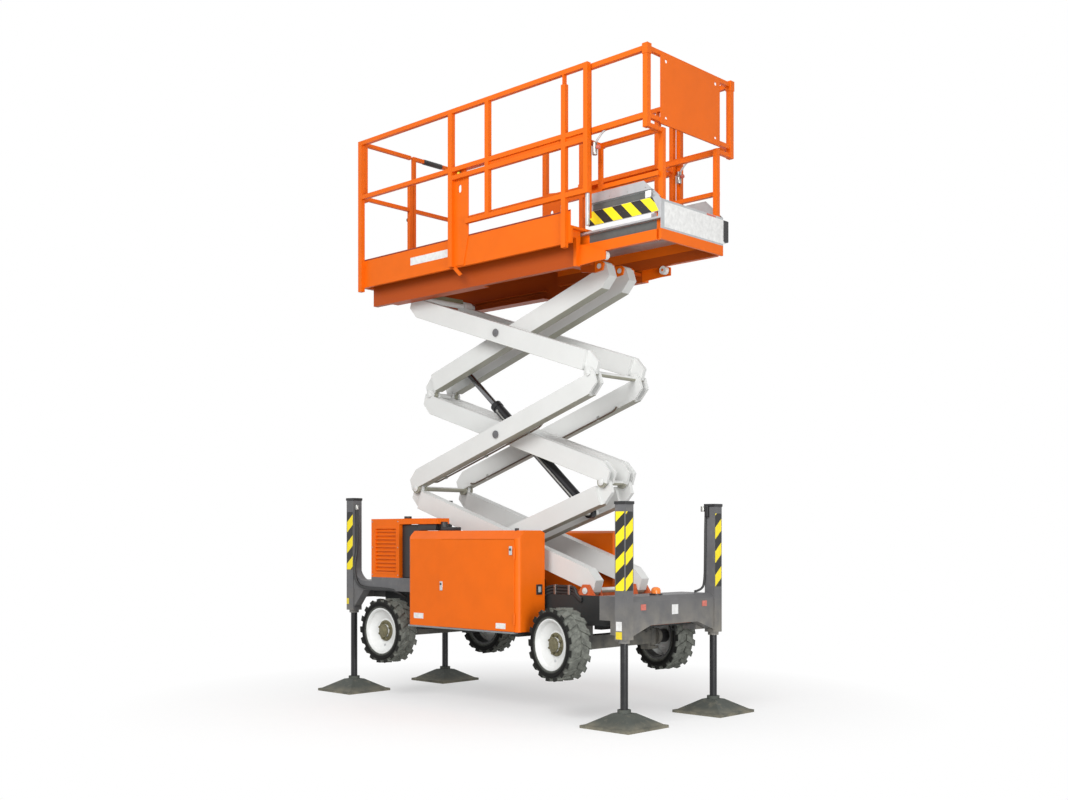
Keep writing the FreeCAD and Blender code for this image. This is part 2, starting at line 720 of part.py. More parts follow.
def module_shell(side):
    y_in = side * module_in
    y_out = side * (module_out - t - seat_gap)
    shoulder = side * (module_out - shoulder_w)
    ridge = side * (module_in + ridge_w)
    inner_top = module_crown - 20.0
    outline = [
        (y_in, module_bottom), (y_out, module_bottom), (y_out, module_top), (shoulder, module_crown),
        (ridge, module_crown), (y_in, inner_top)]
    solid = slab_yz(outline, module_rear, module_front)
    corners = []
    for edge in solid.Edges:
        ends = [v.Point for v in edge.Vertexes]
        upright = abs(ends[0].x - ends[1].x) < 0.1 and abs(ends[0].y - ends[1].y) < 0.1
        if upright and abs(ends[0].y - y_out) < 0.1:
            corners.append(edge)
    solid = solid.makeFillet(module_corner, corners)
    y_wall = y_in + side * t
    y_skin = y_out - side * t
    y_open = y_out + side * 5.0
    roof = [(shoulder, module_crown - t), (ridge, module_crown - t), (y_wall, inner_top - t)]
    floor = module_bottom + t
    bay = slab_yz(
        [(y_wall, floor), (y_open, floor), (y_open, module_top - t)] + roof,
        door_rear + 10.0, door_front - 10.0)
    rear_bay = slab_yz(
        [(y_wall, floor), (y_skin, floor), (y_skin, module_top - t)] + roof,
        module_rear + module_corner, door_rear + 11.0)
    front_bay = slab_yz(
        [(y_wall, floor), (y_out - side * module_corner, floor),
        (y_out - side * module_corner, module_top - t)] + roof,
        door_front - 11.0, module_front - t)
    return solid.cut(bay).cut(rear_bay).cut(front_bay)


def module_door(side):
    y0 = side * (module_out - t)
    y1 = side * module_out
    panel = box(door_rear, door_front, y0, y1, module_bottom + 4.0, module_top - 4.0)
    hinges = []
    for z in (module_bottom + 60.0, module_top - 70.0 - hinge_h):
        hinges.append(rod_z(door_hinge_r, door_front, side * (module_out + 2.0), z, z + hinge_h))
    return fuse([panel] + hinges)


for name, side in (("near", -1), ("far", 1)):
    save(name + "_module", module_shell(side))
    save(name + "_module_door", module_door(side))
engine_out = -module_out + 60.0
engine_z = (module_bottom + t, module_top - 200.0)
save("engine_block", box(engine_x[0], engine_x[1], -module_in - t, engine_out, engine_z[0], engine_z[1]))

# Cover with a recessed bank of louvres, and its hood over the rear of the near module
cover = box(cover_rear, cover_front, -cover_out, -cover_in, cover_bottom, cover_top)
cover = cover.fuse(box(cover_front - 1.0, hood_front, -cover_out, -cover_in, cover_top - hood_t, cover_top))
cover = cover.removeSplitter()
grille_back = -cover_out + grille_deep
cover = cover.cut(box(grille_x[0], grille_x[1], -cover_out - 1.0, grille_back, grille_z[0], grille_z[1]))
louvre_step = (grille_z[1] - grille_z[0]) / louvre_count
louvres = []
for k in range(louvre_count):
    z = grille_z[0] + (k + 0.5) * louvre_step
    louvres.append(slab_yz([
        (grille_back + 1.0, z + 8.0), (-cover_out, z - 9.0), (-cover_out, z - 3.0),
        (grille_back + 1.0, z + 14.0)],
        grille_x[0] - 1.0, grille_x[1] + 1.0))
save("louvred_cover", cover.multiFuse(louvres))

# Amber beacon on the front beam
beacon_y = -105.0
beacon_rows = [
    (50.0, front_top), (50.0, front_top + 12.0), (38.0, front_top + 12.5), (38.0, front_top + 40.0),
    (30.0, front_top + 56.0), (14.0, front_top + 64.0)]
save("beacon", tower(foot_x - 65.0, beacon_y, beacon_rows, 20, 0.0))

# Heights of the platform
deck_top = top_pivot_z + floor_above
deck_foot = deck_top - deck_t
beam_bottom = top_pivot_z + beam_above
skirt_top = top_pivot_z + skirt_above
rail_low = skirt_top + rail_low_up
rail_mid = skirt_top + rail_mid_up
rail_top = skirt_top + rail_top_up
ext_bottom = top_pivot_z + ext_above
ext_beam_top = ext_bottom + ext_beam_h
ext_floor = deck_foot - floor_gap

# Platform deck: side beams with skirts, inner beams with the slide tracks, plate and pivot brackets
inner_beam = ext_out + 9.0
track_bottom = top_pivot_z - top_slide_r - 0.2
track_top = top_pivot_z + top_slide_r + 0.6
track_foot = track_bottom - track_t
deck = [
    box(deck_rear, deck_front, -beam_out, beam_out, deck_foot, deck_top),
    box(deck_rear, deck_rear + 45.0, -beam_out, beam_out, beam_bottom, deck_foot),
    box(deck_rear, deck_rear + skirt_t, -beam_out, beam_out, deck_top, skirt_top),
]
rib_x = (deck_rear + 60.0, -500.0, 300.0, deck_front - 100.0)
roller_z = ext_bottom - ext_roller_r - seat_gap
for s in (-1, 1):
    deck.append(slab_yz([
        (s * (beam_out - beam_w), beam_bottom), (s * beam_out, beam_bottom), (s * beam_out, skirt_top),
        (s * (beam_out - skirt_t), skirt_top), (s * (beam_out - skirt_t), deck_top),
        (s * (beam_out - beam_w), deck_top)], deck_rear, deck_front))
    inner_out = s * (inner_beam + inner_beam_w)
    deck.append(box(deck_rear + 40.0, deck_front - 40.0, s * inner_beam, inner_out, track_foot, deck_foot))
    for z in (track_foot, track_top):
        deck.append(box(track_rear - 20.0, track_front + 20.0, s * side_in, s * inner_beam, z, z + track_t))
    for x in rib_x:
        rib_foot = beam_bottom + 60.0
        deck.append(box(x, x + 60.0, s * (inner_beam + 40.0), s * (beam_out - 20.0), rib_foot, deck_foot))
    for x in (ext_rear + 60.0, deck_front - 160.0):
        guide_in = s * (ext_out + seat_gap)
        deck.append(box(x, x + 90.0, guide_in, s * inner_beam, ext_bottom + 8.0, ext_beam_top - 8.0))
    deck.append(slab_xz([
        (deck_front - 180.0, track_foot), (ext_roller_x - 60.0, roller_z - ext_roller_r - 8.0),
        (ext_roller_x + 40.0, roller_z - ext_roller_r - 8.0), (ext_roller_x + 40.0, roller_z + 25.0),
        (deck_front - 20.0, ext_beam_top), (deck_front - 180.0, ext_beam_top)], s * inner_beam,
        s * (inner_beam + 12.0)))
    deck.append(rod_y(10.0, ext_roller_x, roller_z, s * (ext_out - 50.0), s * (inner_beam + 14.0)))
plate_z = top_pivot_z + 16.0
plate_y = inner_beam + 10.0
deck.append(box(pivot_x - 260.0, pivot_x - 55.0, -plate_y, plate_y, plate_z, plate_z + 26.0))
for s in (-1, 1):
    for y0, y1 in ((inner_y + 6.0, inner_y + 28.0), (inner_in - 22.0, inner_in - 5.0)):
        deck.append(slab_xz([
            (pivot_x - 200.0, plate_z + 5.0), (pivot_x - 200.0, top_pivot_z - 20.0),
            (pivot_x - 60.0, top_pivot_z - 45.0),
            (pivot_x + 30.0, top_pivot_z - 35.0), (pivot_x + 45.0, top_pivot_z + 20.0),
            (pivot_x + 20.0, plate_z + 26.0),
            (pivot_x - 60.0, plate_z + 26.0)], s * y0, s * y1))
deck = fuse(deck)
for s in (-1, 1):
    deck = deck.cut(rod_y(fit_r, pivot_x, top_pivot_z, s * (inner_in - 30.0), s * (inner_y + 40.0)))
save("platform_deck", deck)

# Rollers that carry the rolled-out deck
rollers = []
for s in (-1, 1):
    roller = rod_y(ext_roller_r, ext_roller_x, roller_z, s * (ext_out - 45.0), s * (ext_out - 2.0))
    rollers.append(roller.cut(rod_y(10.0, ext_roller_x, roller_z, s * (ext_out - 50.0), s * ext_out)))
save("support_rollers", Part.makeCompound(rollers))

# Guard rails along one side of the platform
rail_y = beam_out + post_t / 2.0
half_rail = rail_w / 2.0
foot_z = beam_bottom - 40.0
gate_x = corner_x
gate_far = beam_out - 30.0


def side_rails(s):
    y_in = s * beam_out
    y_out = s * (beam_out + post_t)
    rail_end = guide_post_x + hung_w / 2.0
    posts = (
        # x, width, foot, top
        (corner_x, post_w, foot_z, rail_top + half_rail),
        (plate_post_x, post_w, beam_bottom + 5.0, rail_top),
        (hung_x, hung_w, rail_low - half_rail, rail_top),
        (front_post_x, hung_w, foot_z, rail_top - 95.0),
        (front_post_x, 12.0, rail_top - 96.0, rail_top),
        (guide_post_x, hung_w, rail_low - half_rail, rail_top + half_rail),
    )
    bars = (
        # rear end, front end, height
        (corner_x, rail_end, rail_top),
        (corner_x, rail_end, rail_mid),
        (plate_post_x, rail_end, rail_mid - rail_pair),
        (gate_plate_x[1] - 10.0, rail_end, rail_low),
    )
    rails = [box(x - w / 2.0, x + w / 2.0, y_in, y_out, z0, z1) for x, w, z0, z1 in posts]
    rails += [bar_x(rail_w, x0, x1, s * rail_y, z) for x0, x1, z in bars]
    web = (s * (rail_y - 4.0), s * (rail_y + 4.0))
    rails.append(box(hung_x, rail_end, web[0], web[1], rail_mid - rail_pair, rail_mid))
    plate = slab_xz([
        (gate_plate_x[0], beam_bottom + 10.0), (gate_plate_x[1] - 60.0, beam_bottom + 10.0),
        (gate_plate_x[1], skirt_top), (gate_plate_x[1], rail_mid - rail_pair),
        (gate_plate_x[1] - 60.0, rail_mid + 20.0),
        (gate_plate_x[0], rail_mid + 40.0)], y_in, s * (beam_out + 8.0))
    slot_x = gate_plate_x[1] - 105.0
    slot_z = rail_mid - 170.0
    slot = rod_y(18.0, slot_x, slot_z - 16.0, y_in, y_out)
    slot = slot.fuse(rod_y(18.0, slot_x, slot_z + 16.0, y_in, y_out))
    slot = slot.fuse(box(slot_x - 18.0, slot_x + 18.0, y_in, y_out, slot_z - 16.0, slot_z + 16.0))
    rails.append(plate.cut(slot))
    rails.append(slab_xz([
        (plate_post_x - post_w / 2.0, beam_bottom + 20.0),
        (plate_post_x + post_w / 2.0, beam_bottom + 20.0),
        (plate_post_x + 120.0, beam_bottom - 70.0), (plate_post_x + 85.0, beam_bottom - 80.0)],
        y_in, s * (beam_out + 8.0)))
    return rails


save("near_side_rails", fuse(side_rails(-1)))
far_rails = side_rails(1)
for z in (skirt_top + 230.0, rail_mid + 60.0, rail_top - 90.0):
    far_rails.append(rod_z(gate_pin_r + 8.0, gate_x, gate_far, z, z + 30.0))
    collar_y = gate_far + gate_pin_r + 2.0
    far_rails.append(box(gate_x - 12.0, gate_x + 12.0, collar_y, beam_out + 5.0, z, z + 30.0))
gate_bore = rod_z(gate_pin_r + running_fit, gate_x, gate_far, deck_top, rail_top + rail_w)
save("far_side_rails", fuse(far_rails).cut(gate_bore))

# Fixed rails on the near half of the rear
rear_rails = [bar_y(cross_w, gate_x, -beam_out, 0.0, z) for z in (rail_top, rail_mid)]
centre_x = deck_rear + skirt_t + post_t / 2.0
rear_rails.append(bar_z(post_t, centre_x, 0.0, deck_top, skirt_top + centre_post_up))
near_post_y = -beam_out + post_t / 2.0
rear_rails.append(bar_z(post_t, gate_x, near_post_y, rail_mid - cross_w, rail_top + cross_w / 2.0))
save("rear_rails", fuse(rear_rails))

# Entry gate: the far half of the rear, hinged on the far post
gate_foot = skirt_top + 180.0
gate_bars = (rail_top, rail_mid, gate_foot + cross_w / 2.0)
gate = [bar_y(cross_w, gate_x, gate_gap, gate_far, z) for z in gate_bars]
gate.append(bar_z(cross_w, gate_x, gate_gap, gate_foot, rail_top + cross_w / 2.0))
gate.append(rod_z(gate_pin_r, gate_x, gate_far, gate_foot - 10.0, rail_top + cross_w))
save("entry_gate", fuse(gate))

# Frame of the rolled-out deck: side beams with inner webs, and the front beam behind a corner slot
ext_in = ext_out - ext_beam_w
floor_foot = ext_floor - floor_t
frame = [
    box(ext_rear, ext_rear + 50.0, -ext_out, ext_out, floor_foot - 40.0, floor_foot),
    box(ext_front - 20.0, ext_front, -ext_out, ext_out, ext_bottom, ext_beam_top),
]
for s in (-1, 1):
    frame.append(box(ext_rear, ext_front - 45.0, s * ext_in, s * ext_out, ext_bottom, ext_beam_top))
    link_out = s * (ext_out - 22.0)
    frame.append(box(ext_front - 60.0, ext_front - 15.0, s * ext_in, link_out, ext_bottom, ext_beam_top))
    frame.append(box(ext_rear, ext_front - 30.0, s * ext_in, s * (ext_in + 8.0), ext_beam_top, floor_foot))
save("roll_out_frame", fuse(frame))

# Deck of the rolled-out part: plate, folded side boards and front board
toe_foot = deck_top + toe_gap
toe_top = skirt_top + toe_side_up
toe_front = skirt_top + toe_front_up
fold_low = skirt_top + 3.0
fold_high = fold_low + 65.0
pt = skirt_t
boards = [
    box(ext_rear, ext_front, -ext_out, ext_out, floor_foot, ext_floor),
    box(ext_front - pt, ext_front, -ext_out, ext_out, ext_beam_top, toe_front),
]
for s in (-1, 1):
    outer = s * ext_out
    inner = s * (ext_out - pt)
    recess = s * (ext_out - 22.0)
    behind = s * (ext_out - 22.0 - pt)
    board = slab_yz([
        (inner, toe_foot), (outer, toe_foot), (outer, fold_low), (recess, fold_low + pt),
        (recess, fold_high - pt),
        (outer, fold_high), (outer, toe_top), (inner, toe_top), (inner, fold_high + pt),
        (behind, fold_high),
        (behind, fold_low), (inner, fold_low - pt)], deck_front + 40.0, ext_front)
    board = board.cut(slab_xz([
        (ext_front + 1.0, toe_top + 1.0), (ext_front - 170.0, toe_top + 1.0), (ext_front - 170.0, toe_top),
        (ext_front, toe_front), (ext_front + 1.0, toe_front)], behind - s, outer + s))
    boards.append(board)
    boards.append(box(
        ext_front - 30.0, ext_front, s * (ext_out - 12.0), outer, ext_floor, toe_front - 10.0))
save("roll_out_deck", fuse(boards))

# Rails of the rolled-out deck: a wide upper frame over a narrow lower one
front_x = ext_front - 30.0
low_top_z = rail_mid - rail_pair
low_rail_z = toe_top + half_rail + 16.0
socket_w = ext_post_w + 16.0
collar_up = half_rail + 14.0
er = [
    bar_y(cross_w, front_x, -ext_rail_y, ext_rail_y, rail_top),
    bar_y(cross_w, front_x, -ext_rail_y, ext_rail_y, rail_mid),
]
for s in (-1, 1):
    y = s * ext_rail_y
    y_low = s * ext_low_y
    foot = s * ext_foot_y
    er.append(bar_x(rail_w, ext_post_rear, front_x, y, rail_top))
    er.append(bar_x(rail_w, 200.0, front_x, y, rail_mid))
    er.append(bar_z(ext_post_w, ext_post_rear, y, deck_top + 30.0, rail_top + half_rail))
    er.append(bar_z(ext_post_w + 4.0, front_x, y, low_top_z - half_rail, rail_top + half_rail))
    er.append(bar_z(ext_post_w + 12.0, front_x, y, rail_top - 45.0, rail_top + collar_up))
    er.append(bar_x(rail_w - 4.0, ext_post_rear, front_x, y_low, low_top_z))
    er.append(bar_x(rail_w - 4.0, ext_post_rear, front_x, y_low, low_rail_z))
    er.append(box(
        ext_post_rear - 18.0, ext_post_rear + 18.0, s * (ext_out - 28.0), s * (ext_out - 2.0), toe_top,
        low_top_z + 10.0))
    er.append(bar_z(ext_post_w, front_x, foot, ext_floor, low_top_z + half_rail))
    er.append(bar_z(socket_w, ext_front - skirt_t - socket_w / 2.0, foot, ext_floor, ext_floor + 110.0))
    for x in (ext_post_rear, front_x):
        er.append(bar_y(rail_w - 6.0, x, min(foot, y), max(foot, y), low_top_z))
save("roll_out_rails", fuse(er))

# Panel across the front of the rolled-out rails, with a hole near each corner
panel_x = front_x + cross_w / 2.0
panel_y = (-400.0, 370.0)
panel_z = (rail_mid - 30.0, rail_top)
panel = box(panel_x, panel_x + 4.0, panel_y[0], panel_y[1], panel_z[0], panel_z[1])
for y in (panel_y[0] + 70.0, panel_y[1] - 60.0):
    for z in (panel_z[0] + 50.0, panel_z[1] - 50.0):
        panel = panel.cut(Part.makeCylinder(14.0, 10.0, V(panel_x - 3.0, y, z), V(1, 0, 0)))
save("front_panel", panel)
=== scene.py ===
import math

import bmesh
import bpy
from mathutils import Matrix, Vector


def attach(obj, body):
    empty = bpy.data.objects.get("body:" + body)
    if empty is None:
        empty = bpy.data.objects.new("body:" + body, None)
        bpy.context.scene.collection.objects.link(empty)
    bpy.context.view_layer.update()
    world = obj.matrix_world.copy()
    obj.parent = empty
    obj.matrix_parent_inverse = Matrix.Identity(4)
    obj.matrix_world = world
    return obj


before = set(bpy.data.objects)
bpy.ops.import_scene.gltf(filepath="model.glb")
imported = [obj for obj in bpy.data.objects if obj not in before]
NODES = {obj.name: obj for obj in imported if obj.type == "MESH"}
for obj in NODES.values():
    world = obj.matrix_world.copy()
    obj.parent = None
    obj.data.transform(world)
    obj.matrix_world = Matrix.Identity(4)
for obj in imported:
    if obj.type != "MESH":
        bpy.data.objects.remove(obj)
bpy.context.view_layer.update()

# The photograph's frame and the camera that was worked out from it
PHOTO_W = 1068
PHOTO_H = 800
FOCAL_PX = 1230.0
CENTRE_PX = (542.7, 535.8)
CAMERA_AT = (7.617, -7.770, 1.456)
CAMERA_TURN = math.radians(43.46)
SENSOR = 36.0

# Sides of the machine by the sign of y, ends by the sign of x, and the corners that carry wheels and jacks
NEAR = -1
FAR = 1
FRONT = 1
REAR = -1
SIDES = (
    # side, name
    (NEAR, "near"),
    (FAR, "far"),
)
CORNERS = (
    # name, side, end
    ("front_near", NEAR, FRONT),
    ("front_far", FAR, FRONT),
    ("rear_near", NEAR, REAR),
    ("rear_far", FAR, REAR),
)

# Wheel places: the front pair stands turned about its kingpins
WHEEL_X = 1.065
WHEEL_Y = 0.637
WHEEL_Z = 0.600
KINGPIN_Y = 0.500
STEER_TURN = math.radians(-11.0)

# Outrigger columns, and the front face of the beam between the front pair
COLUMN_X = 1.650
COLUMN_Y = 0.575
COLUMN_HALF = 0.050
COLUMN_TOP = {FRONT: 1.715, REAR: 1.807}
COLUMN_FACE = COLUMN_Y + COLUMN_HALF
BEAM_FACE = 1.690

# Modules: outer faces of the door and of the shell round it, and the front end
DOOR_FACE = 0.745
SHELL_FACE = 0.7385
MODULE_END = 0.685

# Scissor stack: the arms' bodies lie level when the stack is folded, so they tilt less than their pins
ARM_LENGTH = 2.285
ARM_DEPTH = 0.165
LEVEL_PITCH = 0.173
REST_ANGLE = math.radians(22.6)
STOW_ANGLE = math.asin(LEVEL_PITCH / ARM_LENGTH)
ARM_TILT = REST_ANGLE - STOW_ANGLE
PIVOT_X = 1.075
PIVOT_Z = 1.014
RISE = ARM_LENGTH * math.sin(REST_ANGLE)
REACH = ARM_LENGTH * math.cos(REST_ANGLE)
MID_X = PIVOT_X - REACH / 2
SLIDE_X = PIVOT_X - REACH
TOP_PIN_Z = PIVOT_Z + 3 * RISE

# Platform: skirt, top rail, and the rolled-out deck's side and front
SKIRT_FACE = 0.575
SKIRT_TOP = 4.0323
RAIL_TOP = 5.1153
ROLL_OUT_Y = 0.403
ROLL_OUT_FACE = 1.870

# Thickness of a label, a stripe or a line of paint on a face
SKIN = 0.0012


def level_z(pins_up):
    """Height of a row of pins, counted in levels above the front pivot."""
    return PIVOT_Z + pins_up * RISE


def wheel_place(side, end):
    """Carries a shape drawn about the axle, outward along +Y, to its wheel."""
    flip = Matrix.Rotation(math.pi if side == NEAR else 0.0, 4, "Z")
    at = Matrix.Translation((end * WHEEL_X, side * WHEEL_Y, WHEEL_Z))
    if end == REAR:
        return at @ flip
    pin = Matrix.Translation((WHEEL_X, side * KINGPIN_Y, 0.0))
    return pin @ Matrix.Rotation(STEER_TURN, 4, "Z") @ pin.inverted() @ at @ flip


# Small tools for shapes

ROUNDING_STEPS = 2
HOSE_STEPS = 3
SHARP_ANGLE = math.radians(35)


def round_edges(bm, edges, radius):
    bmesh.ops.bevel(bm, geom=edges, offset=radius, offset_type="OFFSET", segments=ROUNDING_STEPS,
                    affect="EDGES", profile=0.5, material=-1)


def add_box(bm, low, high, bevel=0.0):
    """A box between two corners, with its edges rounded."""
    made = bmesh.ops.create_cube(bm, size=1.0)["verts"]
    low, high = Vector(low), Vector(high)
    bmesh.ops.scale(bm, vec=high - low, verts=made)
    bmesh.ops.translate(bm, vec=(low + high) / 2, verts=made)
    if bevel > 0:
        round_edges(bm, list({e for v in made for e in v.link_edges}), bevel)


def add_rod(bm, start, end, radius, sides, bevel=0.0, end_radius=None):
    """A round bar between two points, or a cone when the end has its own radius."""
    start, end = Vector(start), Vector(end)
    way = end - start
    turn = way.to_track_quat("Z", "Y").to_matrix().to_4x4()
    place = Matrix.Translation((start + end) / 2) @ turn
    last = radius if end_radius is None else end_radius
    made = bmesh.ops.create_cone(bm, cap_ends=True, segments=sides, radius1=radius, radius2=last,
                                 depth=way.length, matrix=place)["verts"]
    if bevel > 0:
        rims = [f for f in {f for v in made for f in v.link_faces} if len(f.verts) == sides]
        round_edges(bm, list({e for f in rims for e in f.edges}), bevel)


def add_spun(bm, profile, centre, axis, sides):
    """A turned shape: the profile is rows of radius and distance along the axis."""
    axis = Vector(axis).normalized()
    across = axis.orthogonal().normalized()
    points = [bm.verts.new(Vector(centre) + across * r + axis * d) for r, d in profile]
    edges = [bm.edges.new((a, b)) for a, b in zip(points, points[1:])]
    bmesh.ops.spin(bm, geom=points + edges, cent=centre, axis=axis, angle=math.tau,
                   steps=sides, use_merge=True)


def add_plate(bm, outline, push):
    """A flat plate with the given outline, pushed out by a vector."""
    face = bm.faces.new([bm.verts.new(p) for p in outline])
    made = bmesh.ops.extrude_face_region(bm, geom=[face])["geom"]
    bmesh.ops.translate(bm, vec=push, verts=[v for v in made if isinstance(v, bmesh.types.BMVert)])


def piece(name, bm, body, material, smooth=False):
    """Turns a bmesh into a finished piece that rides on a body."""
    bmesh.ops.remove_doubles(bm, verts=bm.verts[:], dist=1e-6)
    bmesh.ops.recalc_face_normals(bm, faces=bm.faces[:])
    mesh = bpy.data.meshes.new(name)
    bm.to_mesh(mesh)
    bm.free()
    made = bpy.data.objects.new(name, mesh)
    bpy.context.scene.collection.objects.link(made)
    mesh.materials.append(material)
    if smooth:
        for face in mesh.polygons:
            face.use_smooth = True
        mesh.set_sharp_from_angle(angle=SHARP_ANGLE)
    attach(made, body)


def hose(name, points, radius, body, material):
    """A hose clipped along its route: a smooth line through listed points."""
    curve = bpy.data.curves.new(name, "CURVE")
    curve.dimensions = "3D"
    curve.bevel_depth = radius
    curve.bevel_resolution = HOSE_STEPS
    curve.use_fill_caps = True
    curve.resolution_u = 8
    line = curve.splines.new("NURBS")
    line.points.add(len(points) - 1)
    for point, place in zip(line.points, points):
        point.co = (*place, 1.0)
    line.order_u = 3
    line.use_endpoint_u = True
    made = bpy.data.objects.new(name, curve)
    bpy.context.scene.collection.objects.link(made)
    curve.materials.append(material)
    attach(made, body)


# Small tools for materials

def new_material(name):
    material = bpy.data.materials.new(name)
    material.use_nodes = True
    return material, material.node_tree, material.node_tree.nodes["Principled BSDF"]


def add_node(tree, kind, **inputs):
    made = tree.nodes.new(kind)
    for key, value in inputs.items():
        made.inputs[key.replace("_", " ")].default_value = value
    return made


def object_coords(tree):
    return tree.nodes.new("ShaderNodeTexCoord").outputs["Object"]


def split_coords(tree):
    """The object coordinates, one by one."""
    split = tree.nodes.new("ShaderNodeSeparateXYZ")
    tree.links.new(object_coords(tree), split.inputs["Vector"])
    return split.outputs


def noise(tree, scale, detail=4.0, roughness=0.55):
    """Noise on object coordinates."""
    made = add_node(tree, "ShaderNodeTexNoise", Scale=scale, Detail=detail, Roughness=roughness)
    tree.links.new(object_coords(tree), made.inputs["Vector"])
    return made.outputs["Fac"]


def ramp(tree, value, low, high, to_low=0.0, to_high=1.0):
    """Turns a value into a share between two limits."""
    made = add_node(tree, "ShaderNodeMapRange", From_Min=low, From_Max=high, To_Min=to_low, To_Max=to_high)
    tree.links.new(value, made.inputs["Value"])
    return made.outputs["Result"]


def math_node(tree, how, first, second=0.0):
    made = tree.nodes.new("ShaderNodeMath")
    made.operation = how
    for slot, value in zip(made.inputs, (first, second)):
        if isinstance(value, (int, float)):
            slot.default_value = value
        else:
            tree.links.new(value, slot)
    return made.outputs["Value"]


def mix(tree, share, first, second):
    """Mixes two colours, each a plain colour or another node's output."""
    made = tree.nodes.new("ShaderNodeMix")
    made.data_type = "RGBA"
    for slot, value in ((made.inputs[0], share), (made.inputs[6], first), (made.inputs[7], second)):
        if isinstance(value, tuple):
            slot.default_value = (*value, 1.0)
        else:
            tree.links.new(value, slot)
    return made.outputs[2]


def bump(tree, shader, height, strength, distance):
    made = add_node(tree, "ShaderNodeBump", Strength=strength, Distance=distance)
    tree.links.new(height, made.inputs["Height"])
    tree.links.new(made.outputs["Normal"], shader.inputs["Normal"])


def distance_along(tree, centre, axis):
    """How far a point lies from a centre, along an axis."""
    offset = tree.nodes.new("ShaderNodeVectorMath")
    offset.operation = "SUBTRACT"
    tree.links.new(object_coords(tree), offset.inputs[0])
    offset.inputs[1].default_value = centre
    along = tree.nodes.new("ShaderNodeVectorMath")
    along.operation = "DOT_PRODUCT"
    tree.links.new(offset.outputs["Vector"], along.inputs[0])
    along.inputs[1].default_value = axis
    return along.outputs["Value"]


def inner_share(tree, width, fade, height, rise, front):
    """A share that is 1 near the middle plane, under a height and behind a front limit, and 0 beyond."""
    at = split_coords(tree)
    within = ramp(tree, math_node(tree, "ABSOLUTE", at["Y"]), width, width + fade, 1.0, 0.0)
    under = ramp(tree, at["Z"], height, height + rise, 1.0, 0.0)
    behind = math_node(tree, "LESS_THAN", at["X"], front)
    return math_node(tree, "MULTIPLY", math_node(tree, "MULTIPLY", within, under), behind)


def outer_share(tree, width, height):
    """A share that is 1 beyond a distance off the middle plane or under a height, and 0 elsewhere."""
    at = split_coords(tree)
    beyond = math_node(tree, "GREATER_THAN", math_node(tree, "ABSOLUTE", at["Y"]), width)
    return math_node(tree, "MAXIMUM", beyond, math_node(tree, "LESS_THAN", at["Z"], height))


def lower_face_share(tree, centre, tilt):
    """A share that is 1 on the lower face of a tilted arm, by the distance below its centre line."""
    above = distance_along(tree, centre, (-math.sin(tilt), 0.0, math.cos(tilt)))
    return ramp(tree, above, 0.003 - ARM_DEPTH / 2, 0.0005 - ARM_DEPTH / 2)


# Finishes

def paint(name, colour, dust, roughness, coat, dusty, low=None, grain=5.0, mottle=0.82, other=None):
    """Sprayed paint: mottled a little, dusty in patches or towards the floor, with orange peel.

    low is the pair of heights between which the floor's dust thins out. other is a share with its
    values and a second colour used there instead: painted shade on the deck, the rolled-out deck,
    the rims and the arms, and the dark outer sides of the chassis.
    """
    material, tree, shader = new_material(name)
    shader.inputs["Specular IOR Level"].default_value = 0.22
    shader.inputs["Coat Weight"].default_value = coat
    shader.inputs["Coat Roughness"].default_value = 0.15
    dark = tuple(c * mottle for c in colour)
    tone = mix(tree, ramp(tree, noise(tree, grain, 5.0), 0.35, 0.7), colour, dark)
    patches = ramp(tree, noise(tree, grain * 3.1, 8.0, 0.7), 0.52, 0.75, 0.0, dusty)
    if low:
        near_floor = ramp(tree, split_coords(tree)["Z"], *low, 1.0, 0.0)
        clinging = math_node(tree, "MULTIPLY", near_floor, ramp(tree, noise(tree, 9.0, 6.0), 0.25, 0.6))
        patches = math_node(tree, "MAXIMUM", patches, math_node(tree, "MULTIPLY", clinging, 0.75))
    finish = mix(tree, patches, tone, dust)
    if other:
        share, values, other_colour = other
        finish = mix(tree, share(tree, *values), finish, other_colour)
    tree.links.new(finish, shader.inputs["Base Color"])
    rough = ramp(tree, patches, 0.0, 1.0, roughness, min(0.95, roughness + 0.4))
    tree.links.new(rough, shader.inputs["Roughness"])
    bump(tree, shader, noise(tree, 260.0, 2.0), 0.08, 0.0006)
    return material


def plain(name, colour, roughness, metallic=0.0, grain=30.0, depth=0.06, mottle=0.8):
    """A moulded or bare surface with fine grain and a little change of tone."""
    material, tree, shader = new_material(name)
    shader.inputs["Metallic"].default_value = metallic
    dark = tuple(c * mottle for c in colour)
    tone = mix(tree, ramp(tree, noise(tree, grain, 6.0), 0.3, 0.7), colour, dark)
    tree.links.new(tone, shader.inputs["Base Color"])
    smoothest = max(0.05, roughness - 0.08)
    roughest = min(1.0, roughness + 0.08)
    rough = ramp(tree, noise(tree, grain * 2.3, 4.0), 0.2, 0.8, smoothest, roughest)
    tree.links.new(rough, shader.inputs["Roughness"])
    bump(tree, shader, noise(tree, grain * 12.0, 3.0), depth, 0.0008)
    return material


def striped(name, pitch, slant, across):
    """Slanting yellow and black stripes, with rubbed edges, on a face that runs along an axis and up."""
    material, tree, shader = new_material(name)
    at = split_coords(tree)
    along = math_node(tree, "ADD", at["Z"], math_node(tree, "MULTIPLY", at[across], slant))
    turn = math_node(tree, "FRACT", math_node(tree, "DIVIDE", along, pitch))
    bands = math_node(tree, "GREATER_THAN", turn, 0.5)
    worn = ramp(tree, noise(tree, 60.0, 8.0, 0.7), 0.62, 0.72, 0.0, 0.35)
    colour = mix(tree, bands, STRIPE_YELLOW, STRIPE_BLACK)
    tree.links.new(mix(tree, worn, colour, STRIPE_WORN), shader.inputs["Base Color"])
    shader.inputs["Roughness"].default_value = 0.45
    bump(tree, shader, noise(tree, 90.0, 3.0), 0.05, 0.0005)
    return material


